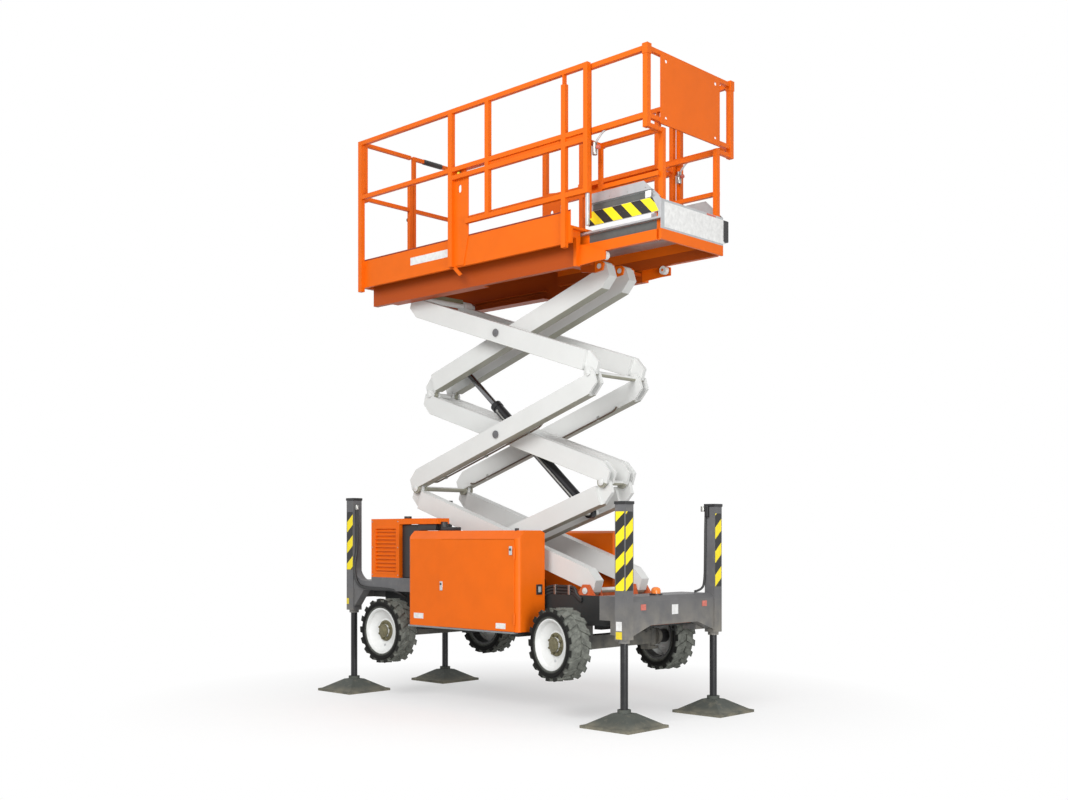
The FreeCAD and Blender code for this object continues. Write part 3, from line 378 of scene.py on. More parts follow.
def tyre_rubber(name, centre, axle):
    """Rubber that is black on the walls and dusty on the tread, told apart by the distance along the axle."""
    material, tree, shader = new_material(name)
    shader.inputs["Specular IOR Level"].default_value = 0.15
    off_centre = math_node(tree, "ABSOLUTE", distance_along(tree, centre, axle))
    tread = ramp(tree, off_centre, 0.088, 0.101, 1.0, 0.0)
    base = mix(tree, ramp(tree, noise(tree, 70.0, 5.0), 0.3, 0.7), TYRE_BLACK, TYRE_GREY)
    patches = ramp(tree, noise(tree, 22.0, 8.0, 0.7), 0.30, 0.62, 0.35, 0.95)
    dusty = math_node(tree, "MULTIPLY", patches, tread)
    tree.links.new(mix(tree, dusty, base, TREAD_DUST), shader.inputs["Base Color"])
    shader.inputs["Roughness"].default_value = 0.78
    bump(tree, shader, noise(tree, 180.0, 5.0), 0.25, 0.001)
    return material


# Paint tones, as the paint is and where dust or wear lies on it, and the colours of painted shade
DUST = (0.36, 0.33, 0.27)
ORANGE_TONE = (0.765, 0.132, 0.001)
ORANGE_DUST = (0.52, 0.17, 0.05)
ORANGE_PAINTED_SHADE = (0.40, 0.064, 0.004)
CHASSIS_ORANGE = (0.62, 0.095, 0.008)
CHASSIS_DARK = (0.030, 0.032, 0.032)
WHITE_TONE = (0.66, 0.667, 0.655)
WHITE_DUST = (0.58, 0.56, 0.50)
ARM_UNDERSIDE_SHADE = (0.30, 0.295, 0.24)
RIM_WHITE = (0.76, 0.77, 0.76)
RIM_INSIDE_SHADE = (0.045, 0.045, 0.045)
STRIPE_YELLOW = (0.90, 0.72, 0.01)
STRIPE_BLACK = (0.012, 0.012, 0.012)
STRIPE_WORN = (0.25, 0.24, 0.21)
TYRE_BLACK = (0.006, 0.006, 0.006)
TYRE_GREY = (0.012, 0.012, 0.011)
TREAD_DUST = (0.215, 0.225, 0.200)

# Where painted shade takes the place of the paint: width off the middle plane, its fade, height, its rise and
# front limit
DECK_SHADE_ZONE = (0.5445, 0.0008, 3.909, 0.0015, 1.030)
ROLL_OUT_SHADE_ZONE = (0.3800, 0.0010, 3.7850, 0.0010, 1.845)
RIMS_SHADE_ZONE = (0.6300, 0.0150, 1.0, 0.1, 9.0)
# The chassis is dark outside this width and under this height
CHASSIS_BEYOND = (0.3800, 0.7530)

ORANGE_FINISH = {"roughness": 0.48, "coat": 0.02, "dusty": 0.05, "mottle": 0.93}
WHITE_FINISH = {"roughness": 0.45, "coat": 0.1, "dusty": 0.10, "grain": 4.0, "mottle": 0.95}

ORANGE = paint("orange_paint", ORANGE_TONE, ORANGE_DUST, **ORANGE_FINISH)
# The deck and the rolled-out deck are a darker orange under and inside them: painted shade
ORANGE_DECK_SHADED = paint("orange_paint_deck_shaded", ORANGE_TONE, ORANGE_DUST,
                    other=(inner_share, DECK_SHADE_ZONE, ORANGE_PAINTED_SHADE), **ORANGE_FINISH)
ORANGE_ROLL_OUT_SHADED = paint("orange_paint_roll_out_shaded", ORANGE_TONE, ORANGE_DUST,
                        other=(inner_share, ROLL_OUT_SHADE_ZONE, ORANGE_PAINTED_SHADE), **ORANGE_FINISH)
ORANGE_LOW = paint("orange_paint_chassis", CHASSIS_ORANGE, DUST, 0.5, 0.05, 0.3, low=(0.6, 1.1),
                   other=(outer_share, CHASSIS_BEYOND, CHASSIS_DARK))
WHITE = paint("white_paint", WHITE_TONE, WHITE_DUST, **WHITE_FINISH)
GREY = paint("grey_paint", (0.135, 0.135, 0.14), DUST, 0.5, 0.1, 0.2, low=(0.5, 1.0))
AXLE_PAINT = paint("axle_paint", (0.075, 0.078, 0.078), DUST, 0.6, 0.0, 0.30, low=(0.2, 0.9))
# The rims are painted dark on their inner side: painted shade
RIM_PAINT = paint("rim_paint", RIM_WHITE, (0.42, 0.39, 0.32), 0.4, 0.2, 0.20, mottle=0.9,
                  other=(inner_share, RIMS_SHADE_ZONE, RIM_INSIDE_SHADE))
PAD_PAINT = paint("pad_paint", (0.085, 0.092, 0.082), (0.30, 0.27, 0.20), 0.7, 0.0, 0.5, low=(0.0, 0.06))
LEG_PAINT = paint("leg_paint", (0.018, 0.018, 0.02), (0.10, 0.10, 0.09), 0.38, 0.2, 0.15)
BLACK_PAINT = paint("black_paint", (0.016, 0.016, 0.018), (0.12, 0.12, 0.11), 0.4, 0.2, 0.12)
TUBE_OLIVE = paint("slide_tube_paint", (0.19, 0.185, 0.115), (0.14, 0.13, 0.09), 0.5, 0.0, 0.2)
ENGINE = plain("engine_iron", (0.07, 0.07, 0.072), 0.6, metallic=0.4)
ZINC_DECK = plain("zinc_sheet_deck", (0.50, 0.51, 0.52), 0.42, 0.5, grain=14.0, depth=0.03, mottle=0.85)
ZINC = plain("zinc_sheet", (0.60, 0.61, 0.62), 0.38, 0.55, grain=14.0, depth=0.03, mottle=0.82)
CHROME = plain("cylinder_chrome", (0.22, 0.22, 0.23), 0.20, 1.0, grain=20.0, depth=0.01, mottle=0.92)
BLACK_PLASTIC = plain("black_plastic", (0.018, 0.018, 0.019), 0.45)
RUBBER_HOSE = plain("hose_rubber", (0.022, 0.022, 0.022), 0.55)
AMBER = plain("amber_lens", (0.90, 0.22, 0.02), 0.22, grain=8.0, depth=0.02, mottle=0.9)
BLANK_WHITE = plain("blank_plate_white", (0.78, 0.78, 0.77), 0.4)
BLANK_YELLOW = plain("blank_plate_yellow", (0.80, 0.62, 0.03), 0.4)
REFLECTOR = plain("reflector_red", (0.62, 0.16, 0.12), 0.25)
HUB_OLIVE = plain("hub_olive", (0.20, 0.18, 0.10), 0.55, 0.3, grain=40.0, depth=0.15, mottle=0.5)
NYLON = plain("white_nylon", (0.74, 0.74, 0.72), 0.4, grain=20.0, depth=0.03, mottle=0.9)
STEEL_BOLT = plain("bolt_steel", (0.42, 0.42, 0.40), 0.35, metallic=0.9)
SILL_GREY = plain("sill_grey", (0.24, 0.26, 0.27), 0.45, metallic=0.3)
HOSE_BROWN_AND_EDGE_SHADE = plain("hose_brown_and_edge_shade", (0.11, 0.075, 0.050), 0.55)
FOLD_PAINTED_SHADOW = plain("fold_painted_shadow", (0.10, 0.105, 0.10), 0.6)
SKIRT_SHADOW = plain("skirt_edge_painted_shade", (0.20, 0.018, 0.008), 0.6)
STRIPES_SIDE = striped("column_stripes_side", 0.195, -0.85, "X")
STRIPES_END = striped("column_stripes_end", 0.195, -0.85, "Y")
STRIPES_BAND = striped("deck_band_stripes", 0.190, 1.0, "X")


def dress(name, material):
    """Gives a CAD node its finish."""
    NODES[name].data.materials.clear()
    NODES[name].data.materials.append(material)


for name, side, end in CORNERS:
    place = wheel_place(side, end)
    axle = place.to_3x3() @ Vector((0, 1, 0))
    dress("tyre_" + name, tyre_rubber("tyre_rubber_" + name, place.to_translation(), axle))

FINISHES = (
    # material, nodes that have it
    (ORANGE, ("near_module", "near_module_door", "far_module", "far_module_door", "louvred_cover",
              "near_side_rails", "far_side_rails", "rear_rails", "entry_gate",
              "roll_out_rails", "front_panel")),
    (ORANGE_DECK_SHADED, ("platform_deck",)),
    (ORANGE_ROLL_OUT_SHADED, ("roll_out_frame",)),
    (ORANGE_LOW, ("chassis_frame",)),
    (GREY, ("front_outrigger_beam", "rear_outrigger_beam")),
    (AXLE_PAINT, ("rear_axle", "front_axle", "steering_knuckle_near", "steering_knuckle_far")),
    (BLACK_PAINT, ("lift_cylinder_barrel",)),
    (CHROME, ("lift_cylinder_rod",)),
    (ZINC_DECK, ("roll_out_deck",)),
    (NYLON, ("support_rollers",)),
    (AMBER, ("beacon",)),
    (ENGINE, ("engine_block",)),
    (RIM_PAINT, ["rim_" + name for name, side, end in CORNERS]),
    (PAD_PAINT, ["foot_pad_" + name for name, side, end in CORNERS]),
    (LEG_PAINT, ["jack_leg_" + name for name, side, end in CORNERS]),
)
for material, names in FINISHES:
    for name in names:
        dress(name, material)

# Scissor arms: white, with painted shade on their lower faces; the outer pair rises to the front on level 2
# only
for level in (1, 2, 3):
    outer_tilt = ARM_TILT if level == 2 else -ARM_TILT
    for pair, tilt in (("outer", outer_tilt), ("inner", -outer_tilt)):
        name = "level%d_%s_arms" % (level, pair)
        centre = (MID_X, 0.0, level_z(level - 0.5))
        dress(name, paint("white_paint_shaded_below_" + name, WHITE_TONE, WHITE_DUST,
                          other=(lower_face_share, (centre, tilt), ARM_UNDERSIDE_SHADE), **WHITE_FINISH))


# Small tools for whole pieces

def boxes(name, body, material, rows, bevel=0.0):
    """One piece made of several boxes, each a pair of corners."""
    bm = bmesh.new()
    for low, high in rows:
        add_box(bm, low, high, bevel)
    piece(name, bm, body, material)


def rods(name, body, material, rows, sides=20, bevel=0.0):
    """One piece made of several round bars, each a start, an end and a radius."""
    bm = bmesh.new()
    for start, end, radius in rows:
        add_rod(bm, start, end, radius, sides, bevel)
    piece(name, bm, body, material, True)


def facing(side, first, second, x0, x1, z0, z1):
    """Corners of a box on one side, from two distances off the middle plane."""
    y0, y1 = sorted((side * first, side * second))
    return (x0, y0, z0), (x1, y1, z1)


# Outrigger columns: black caps, hazard stripes on the two outer faces, hoses and latches

CAP_REACH = COLUMN_HALF + 0.006
CAP_Z = (-0.020, 0.004)
STRIPES_Z = {FRONT: (1.040, 1.640), REAR: (1.140, 1.680)}
STRIPE_HALF = 0.042
ARM_HOSE_Y = 0.631
FRONT_HOSE_Y = 0.5155
UNION_X = 1.590
UNION_LENGTH = 0.045

caps = []
side_stripes = []
end_stripes = []
for name, side, end in CORNERS:
    x, y, top = end * COLUMN_X, side * COLUMN_Y, COLUMN_TOP[end]
    caps.append(((x - CAP_REACH, y - CAP_REACH, top + CAP_Z[0]),
                 (x + CAP_REACH, y + CAP_REACH, top + CAP_Z[1])))
    low, high = STRIPES_Z[end]
    side_stripes.append(facing(side, COLUMN_FACE, COLUMN_FACE + SKIN,
                               x - STRIPE_HALF, x + STRIPE_HALF, low, high))
    x0, x1 = sorted((end * (COLUMN_X + COLUMN_HALF), end * (COLUMN_X + COLUMN_HALF + SKIN)))
    end_stripes.append(((x0, y - STRIPE_HALF, low), (x1, y + STRIPE_HALF, high)))
boxes("column_caps", "chassis", BLACK_PLASTIC, caps, 0.004)
boxes("column_side_stripes", "chassis", STRIPES_SIDE, side_stripes)
boxes("column_end_stripes", "chassis", STRIPES_END, end_stripes)

for side, name in SIDES:
    y_arm = side * ARM_HOSE_Y
    hose("rear_column_hose_" + name, [
        (-1.588, side * 0.590, 1.730), (-1.586, side * 0.590, 1.500), (-1.586, side * 0.592, 1.300),
        (-1.582, side * 0.624, 1.190), (-1.565, y_arm, 1.080), (-1.520, y_arm, 1.000),
        (-1.420, y_arm, 0.975), (-1.200, y_arm, 0.972), (-1.040, y_arm, 0.968),
        (-0.970, side * 0.600, 0.945), (-0.940, side * 0.540, 0.900)],
        0.014, "chassis", RUBBER_HOSE)
    y_front = side * FRONT_HOSE_Y
    hose("front_column_hose_" + name, [
        (1.618, y_front, 1.690), (1.612, y_front, 1.550), (1.610, y_front, 1.300), (1.606, y_front, 1.080),
        (1.590, side * 0.500, 1.010), (1.540, side * 0.460, 0.996)],
        0.010, "chassis", RUBBER_HOSE)
rods("column_hose_unions", "chassis", STEEL_BOLT, [
    ((end * UNION_X, side * y, z), (end * UNION_X, side * y, z + UNION_LENGTH), 0.018)
    for side, name in SIDES for end, y, z in ((REAR, 0.590, 1.700), (FRONT, 0.512, 1.655))], 12, 0.003)
boxes("column_latches", "chassis", BLACK_PLASTIC, [
    facing(side, 0.500, 0.527, 1.612, 1.648, 1.610, 1.700) for side, name in SIDES], 0.006)

# Blank labels and reflectors on the columns, the front beam, the skirt and the rolled-out deck
LABEL_Y = -COLUMN_FACE - SKIN
REFLECTOR_X = BEAM_FACE + 0.004
LABELS = (
    # name, body, slot, material, low corner, high corner
    ("column_label_white", "chassis", "white_paint", BLANK_WHITE,
     (1.612, LABEL_Y, 0.735), (1.668, -COLUMN_FACE, 0.805)),
    ("column_label_yellow", "chassis", "dark_paint", BLANK_YELLOW,
     (1.610, LABEL_Y, 0.672), (1.670, -COLUMN_FACE, 0.728)),
    ("rear_column_tag", "chassis", "dark_paint", BLANK_YELLOW,
     (-1.699, LABEL_Y, 0.815), (-1.665, -COLUMN_FACE, 0.870)),
    ("beam_label", "chassis", "white_paint", BLANK_WHITE,
     (BEAM_FACE, -0.035, 0.838), (BEAM_FACE + SKIN, 0.045, 0.915)),
    ("beam_reflector", "chassis", "amber_lens", REFLECTOR,
     (BEAM_FACE, -0.425, 0.885), (REFLECTOR_X, -0.365, 0.930)),
    ("beam_reflector_far", "chassis", "amber_lens", REFLECTOR,
     (BEAM_FACE, 0.365, 0.885), (REFLECTOR_X, 0.425, 0.930)),
    ("skirt_name_plate", "platform", "white_paint", BLANK_WHITE,
     (-0.835, -SKIRT_FACE - SKIN, 3.880), (-0.340, -SKIRT_FACE, 3.948)),
    ("front_sign", "roll_out", "white_paint", BLANK_WHITE,
     (ROLL_OUT_FACE, -0.362, 3.800), (ROLL_OUT_FACE + 0.0015, 0.418, 3.992)),
    ("front_sign_edge", "roll_out", "amber_lens", REFLECTOR,
     (ROLL_OUT_FACE, 0.180, 3.993), (ROLL_OUT_FACE + 0.0016, 0.300, 4.008)),
)
for name, body, slot, material, low, high in LABELS:
    boxes(name, body, material, [(low, high)])

# Seat ring of the beacon, as rows of radius and height
BEACON_RING = [(0.039, 0.9885), (0.0515, 0.9885), (0.0515, 1.0005), (0.039, 1.0016), (0.039, 0.9885)]
bm = bmesh.new()
add_spun(bm, BEACON_RING, (1.585, -0.105, 0.0), (0, 0, 1), 40)
piece("beacon_foot", bm, "chassis", BLACK_PLASTIC, True)

# Modules: foot strip, blank labels, latches and roof knob; the far one has the same fittings
LATCH_T = 0.007
BUTTON_Y = (DOOR_FACE + 0.006, DOOR_FACE + 0.012)
END_LATCH_Y = 0.500
END_LATCH_FACE = MODULE_END + 0.009

for side, name in SIDES:
    door = name + "_door"
    y_end = side * END_LATCH_Y
    y_roof = side * 0.655
    boxes(name + "_module_sill", "chassis", SILL_GREY, [
        facing(side, 0.700, 0.7475, -0.668, 0.640, 0.664, 0.6785)], 0.002)
    boxes(name + "_module_label", "chassis", BLANK_WHITE, [
        facing(side, SHELL_FACE, SHELL_FACE + SKIN, -0.598, -0.472, 0.738, 0.785)])
    boxes(name + "_door_label", door, BLANK_WHITE, [
        facing(side, DOOR_FACE, DOOR_FACE + SKIN, 0.432, 0.545, 0.700, 0.745)])
    boxes(name + "_door_latch_plates", door, ZINC, [
        facing(side, DOOR_FACE, DOOR_FACE + LATCH_T, 0.588, 0.622, 1.300, 1.372),
        facing(side, DOOR_FACE, DOOR_FACE + LATCH_T, -0.248, -0.216, 0.990, 1.068)], 0.003)
    rods(name + "_door_latch_buttons", door, BLACK_PLASTIC, [
        ((0.605, side * BUTTON_Y[0], 1.345), (0.605, side * BUTTON_Y[1], 1.345), 0.010),
        ((-0.232, side * BUTTON_Y[0], 1.045), (-0.232, side * BUTTON_Y[1], 1.045), 0.009)], 16, 0.001)
    boxes(name + "_module_end_latch", "chassis", BLACK_PLASTIC, [
        ((MODULE_END, y_end - 0.034, 0.975), (END_LATCH_FACE, y_end + 0.034, 1.060))], 0.004)
    boxes(name + "_module_end_catch", "chassis", ZINC, [
        ((END_LATCH_FACE, y_end - 0.015, 0.995), (END_LATCH_FACE + 0.004, y_end + 0.015, 1.042))], 0.002)
    rods(name + "_module_roof_knob", "chassis", BLACK_PLASTIC, [
        ((0.585, y_roof, 1.496), (0.585, y_roof, 1.518), 0.017)], 20, 0.003)

# Between the louvred cover and the near module, and on their roofs
boxes("intake_box", "chassis", BLACK_PLASTIC, [
    ((-0.938, -0.585, 1.0765), (-0.705, -0.480, 1.555))], 0.006)
# A black block under the hood's rear edge stands in for the shade under the hood: painted shade
boxes("hood_underside_shade", "chassis", BLACK_PLASTIC, [
    ((-0.705, -0.600, 1.5030), (-0.470, -0.480, 1.5585))], 0.004)
boxes("intake_pipe_guard", "chassis", ZINC, [
    ((-0.700, -0.700, 1.190), (-0.678, -0.610, 1.425))], 0.003)
rods("cover_roof_knob", "chassis", BLACK_PLASTIC, [
    ((-0.905, -0.545, 1.608), (-0.905, -0.545, 1.632), 0.034)], 24, 0.004)
bm = bmesh.new()
add_rod(bm, (-0.415, -0.545, 1.495), (-0.415, -0.545, 1.578), 0.038, 24, 0.004, 0.030)
add_box(bm, (-0.395, -0.590, 1.496), (-0.255, -0.490, 1.532), 0.008)
piece("roof_filler", bm, "chassis", BLACK_PLASTIC, True)

# Frame strip round the louvres, and the cover's screws
COVER_FACE = -0.619
FRAME_FACE = -0.6225
FRAME_X = (-1.290, -1.275, -0.985, -0.970)
FRAME_Z = (1.110, 1.130, 1.520, 1.540)
boxes("cover_frame", "chassis", ORANGE, [
    ((FRAME_X[0], FRAME_FACE, FRAME_Z[0]), (FRAME_X[1], COVER_FACE, FRAME_Z[3])),
    ((FRAME_X[2], FRAME_FACE, FRAME_Z[0]), (FRAME_X[3], COVER_FACE, FRAME_Z[3])),
    ((FRAME_X[1], FRAME_FACE, FRAME_Z[2]), (FRAME_X[2], COVER_FACE, FRAME_Z[3])),
    ((FRAME_X[1], FRAME_FACE, FRAME_Z[0]), (FRAME_X[2], COVER_FACE, FRAME_Z[1]))], 0.001)
rods("cover_screws", "chassis", STEEL_BOLT, [
    ((x, COVER_FACE - 0.0005, z), (x, COVER_FACE - 0.0045, z), 0.006)
    for x in (-1.318, -0.956) for z in (1.10, 1.35, 1.585)], 10, 0.001)

# Hoses clipped along the chassis in front of the near module
for k, z in enumerate((0.993, 1.018, 1.043)):
    hose("chassis_hose_%d" % (k + 1), [
        (0.640, -0.400, z - 0.03), (0.690, -0.378, z), (0.800, -0.3735, z), (0.930, -0.3735, z),
        (0.980, -0.385, z - 0.010), (1.005, -0.392, 0.960 + 0.006 * k), (1.060, -0.3925, 0.930 + 0.010 * k)],
        0.0125, "chassis", RUBBER_HOSE)
boxes("chassis_hose_clips", "chassis", STEEL_BOLT, [
    ((x, -0.3885, 0.978), (x + 0.022, -0.3585, 1.0575)) for x in (0.745, 0.900)], 0.002)


# Wheels: hub caps, nuts, rim plugs and rim lips, as rows of radius and distance along the axle

HUB_DOME = [(0.0, 0.056), (0.0595, 0.056), (0.0595, 0.0632), (0.045, 0.0645), (0.040, 0.071), (0.022, 0.0745),
            (0.0, 0.0750)]
HUB_FLANGE = [(0.056, 0.030), (0.094, 0.030), (0.094, 0.0365), (0.090, 0.039), (0.056, 0.039), (0.056, 0.030)]
RIM_LIP = [(0.200, 0.086), (0.205, 0.091), (0.205, 0.094), (0.196, 0.094), (0.192, 0.090), (0.192, 0.086),
           (0.200, 0.086)]
NUTS = 8
NUT_CIRCLE = 0.076
PLUG_Z = -0.130
HUB_CENTRE = (0, 0, 0)
AXLE_WAY = (0, 1, 0)


def wheel_piece(kind, corner, bm, place, material, smooth=False):
    """Carries a shape to the wheel of a corner and finishes it there."""
    bmesh.ops.transform(bm, matrix=place, verts=bm.verts[:])
    piece(kind + "_" + corner, bm, "wheel_" + corner, material, smooth)


for name, side, end in CORNERS:
    place = wheel_place(side, end)
    bm = bmesh.new()
    add_spun(bm, HUB_DOME, HUB_CENTRE, AXLE_WAY, 36)
    add_spun(bm, HUB_FLANGE, HUB_CENTRE, AXLE_WAY, 36)
    wheel_piece("hub_cap", name, bm, place, HUB_OLIVE, True)
    bm = bmesh.new()
    for k in range(NUTS):
        turn = math.tau * (k + 0.5) / NUTS
        x, z = NUT_CIRCLE * math.cos(turn), NUT_CIRCLE * math.sin(turn)
        add_rod(bm, (x, 0.037, z), (x, 0.054, z), 0.0115, 6, 0.001)
        add_rod(bm, (x, 0.053, z), (x, 0.060, z), 0.0065, 12, 0.001)
    wheel_piece("wheel_nuts", name, bm, place, HUB_OLIVE)
    bm = bmesh.new()
    add_rod(bm, (0.0, 0.036, PLUG_Z), (0.0, 0.046, PLUG_Z), 0.012, 20, 0.002)
    wheel_piece("rim_plug", name, bm, place, ZINC)
    bm = bmesh.new()
    add_spun(bm, RIM_LIP, HUB_CENTRE, AXLE_WAY, 68)
    wheel_piece("rim_lip", name, bm, place, RIM_PAINT, True)


# Scissor stack: pin caps, hoses clipped under the arms, the cross tube at the upper slide

def on_arm(level, rises, along, up, y):
    """A point of an arm, from its middle pin along its length and up across it."""
    tilt = ARM_TILT if rises else -ARM_TILT
    return (MID_X + along * math.cos(tilt) - up * math.sin(tilt), y,
            level_z(level - 0.5) + along * math.sin(tilt) + up * math.cos(tilt))


def pin_caps(name, body, x_levels, y, radius, material=WHITE):
    """Discs with a raised middle on both ends of pins, from rows of x and level."""
    bm = bmesh.new()
    for x, pins_up in x_levels:
        z = level_z(pins_up)
        for side in (NEAR, FAR):
            add_rod(bm, (x, side * (y - 0.003), z), (x, side * (y + 0.004), z), radius, 28, 0.001)
            add_rod(bm, (x, side * (y + 0.003), z), (x, side * (y + 0.007), z), radius * 0.45, 16, 0.001)
    piece(name, bm, body, material, True)


for level in (1, 2, 3):
    pin_caps("middle_pin_caps_%d" % level, "level%d_outer" % level, [(MID_X, level - 0.5)], 0.347, 0.034,
             GREY)
pin_caps("front_pivot_caps", "level1_outer", [(PIVOT_X, 0)], 0.3755, 0.026)
pin_caps("outer_rear_caps", "level2_outer", [(SLIDE_X, 1)], 0.345, 0.028)
pin_caps("outer_front_caps", "level3_outer", [(PIVOT_X, 2)], 0.345, 0.028)
pin_caps("inner_caps", "level2_inner", [(PIVOT_X, 1), (SLIDE_X, 2)], 0.180, 0.028)

# The brown hoses under the arms also stand in for painted shade along the arms' lower edges
ARM_HOSE_UP = -0.090
CLIP_HALF = 0.015
CLIP_FACE = 0.2425
CLIP_TOP = -0.060
CLIP_FOOT = ARM_HOSE_UP - 0.0105
ARM_HOSES = (
    # name, body, level, rises, first and last point along the arm, side
    ("arm_hose_1_near", "level1_outer", 1, False, -0.90, 0.85, NEAR),
    ("arm_hose_2_near", "level2_outer", 2, True, -1.00, 0.46, NEAR),
    ("arm_hose_2_far", "level2_outer", 2, True, -1.00, 0.90, FAR),
)
for name, body, level, rises, first, last, side in ARM_HOSES:
    way = [(first, 0.022), (first + 0.03, 0.004), (first + 0.08, 0.0), (first + 0.5, 0.0),
           (last - 0.5, 0.0), (last - 0.08, 0.0), (last - 0.03, 0.004), (last, 0.022)]
    hose(name, [on_arm(level, rises, along, ARM_HOSE_UP + lift, side * 0.2345) for along, lift in way],
         0.0075, body, HOSE_BROWN_AND_EDGE_SHADE)
    bm = bmesh.new()
    for share in (0.12, 0.5, 0.88):
        along = first + (last - first) * share
        for top, thick in ((CLIP_TOP, 0.002), (CLIP_FOOT + 0.002, 0.018)):
            corners = [(along - CLIP_HALF, CLIP_FOOT), (along + CLIP_HALF, CLIP_FOOT),
                       (along + CLIP_HALF, top), (along - CLIP_HALF, top)]
            add_plate(bm, [on_arm(level, rises, a, up, side * CLIP_FACE) for a, up in corners],
                      (0, -side * thick, 0))
    piece(name + "_clips", bm, body, STEEL_BOLT)

boxes("upper_slide_tube", "level3_outer", TUBE_OLIVE, [
    ((SLIDE_X - 0.055, -0.2435, TOP_PIN_Z - 0.008), (SLIDE_X + 0.012, 0.2435, TOP_PIN_Z + 0.062))], 0.006)

# Lift cylinder: oil pipe along the barrel, fittings and the wiper at the gland
LUG_SHARE = 0.85
LUG_DROP = 0.120
GLAND_AT = 1.4995
PIPE_Y = -0.0575
PIPE_ENDS = (0.150, 1.410)
WIPER = [(0.0275, 0.0), (0.046, 0.0), (0.046, 0.006), (0.040, 0.010), (0.0275, 0.010), (0.0275, 0.0)]
CYLINDER_LOW = Vector((SLIDE_X + LUG_SHARE * REACH + LUG_DROP * math.sin(REST_ANGLE), 0.0,
                       PIVOT_Z + LUG_SHARE * RISE - LUG_DROP * math.cos(REST_ANGLE)))
CYLINDER_HIGH = Vector((2 * MID_X - CYLINDER_LOW.x, 0.0, 2 * level_z(1.5) - CYLINDER_LOW.z))
CYLINDER_WAY = (CYLINDER_HIGH - CYLINDER_LOW).normalized()


def on_cylinder(along, y):
    point = CYLINDER_LOW + CYLINDER_WAY * along
    return (point.x, y, point.z)


hose("barrel_pipe", [
    on_cylinder(PIPE_ENDS[0], -0.046), on_cylinder(0.165, PIPE_Y), on_cylinder(0.300, PIPE_Y),
    on_cylinder(1.200, PIPE_Y), on_cylinder(1.395, PIPE_Y), on_cylinder(PIPE_ENDS[1], -0.046)],
    0.0075, "cylinder_barrel", STEEL_BOLT)
rods("barrel_fittings", "cylinder_barrel", STEEL_BOLT, [
    (on_cylinder(along, -0.040), on_cylinder(along, -0.056), 0.014) for along in PIPE_ENDS], 6, 0.001)
bm = bmesh.new()
add_spun(bm, WIPER, CYLINDER_LOW + CYLINDER_WAY * GLAND_AT, CYLINDER_WAY, 36)
piece("barrel_wiper", bm, "cylinder_barrel", STEEL_BOLT, True)


# Platform: painted shade along the skirt's top, knobs, grip, and the hazard bands and latches beside the
# rolled-out deck

BAND_REAR = 1.140
BAND_Z = (3.921, 4.033)
BAND_FRONT = (1.846, 1.785)
KNOB_X = -0.173
KNOB_Z = 4.566
LATCH_X = 1.325
LATCH_Y = 0.540

# A dark red strip along the skirt's top edge: painted shade
boxes("skirt_edge_shade_line", "platform", SKIRT_SHADOW, [
    facing(side, SKIRT_FACE, SKIRT_FACE + 0.0016, -1.540, 1.100, SKIRT_TOP - 0.012, SKIRT_TOP - 0.002)
    for side, name in SIDES])
for side, name in SIDES:
    rods(name + "_plate_knob", "platform", BLANK_YELLOW, [
        ((KNOB_X, side * 0.5835, KNOB_Z), (KNOB_X, side * 0.606, KNOB_Z), 0.015)], 20, 0.003)
    rods(name + "_plate_knob_base", "platform", BLACK_PLASTIC, [
        ((KNOB_X, side * 0.582, KNOB_Z), (KNOB_X, side * 0.590, KNOB_Z), 0.022)], 20, 0.002)
rods("centre_post_knob", "platform", BLACK_PLASTIC, [
    ((-1.534, 0.0, 4.520), (-1.553, 0.0, 4.520), 0.019)], 20, 0.003)
rods("gate_grip", "gate", BLACK_PLASTIC, [
    ((-1.515, 0.165, RAIL_TOP), (-1.515, 0.400, RAIL_TOP), 0.0255)], 20, 0.004)

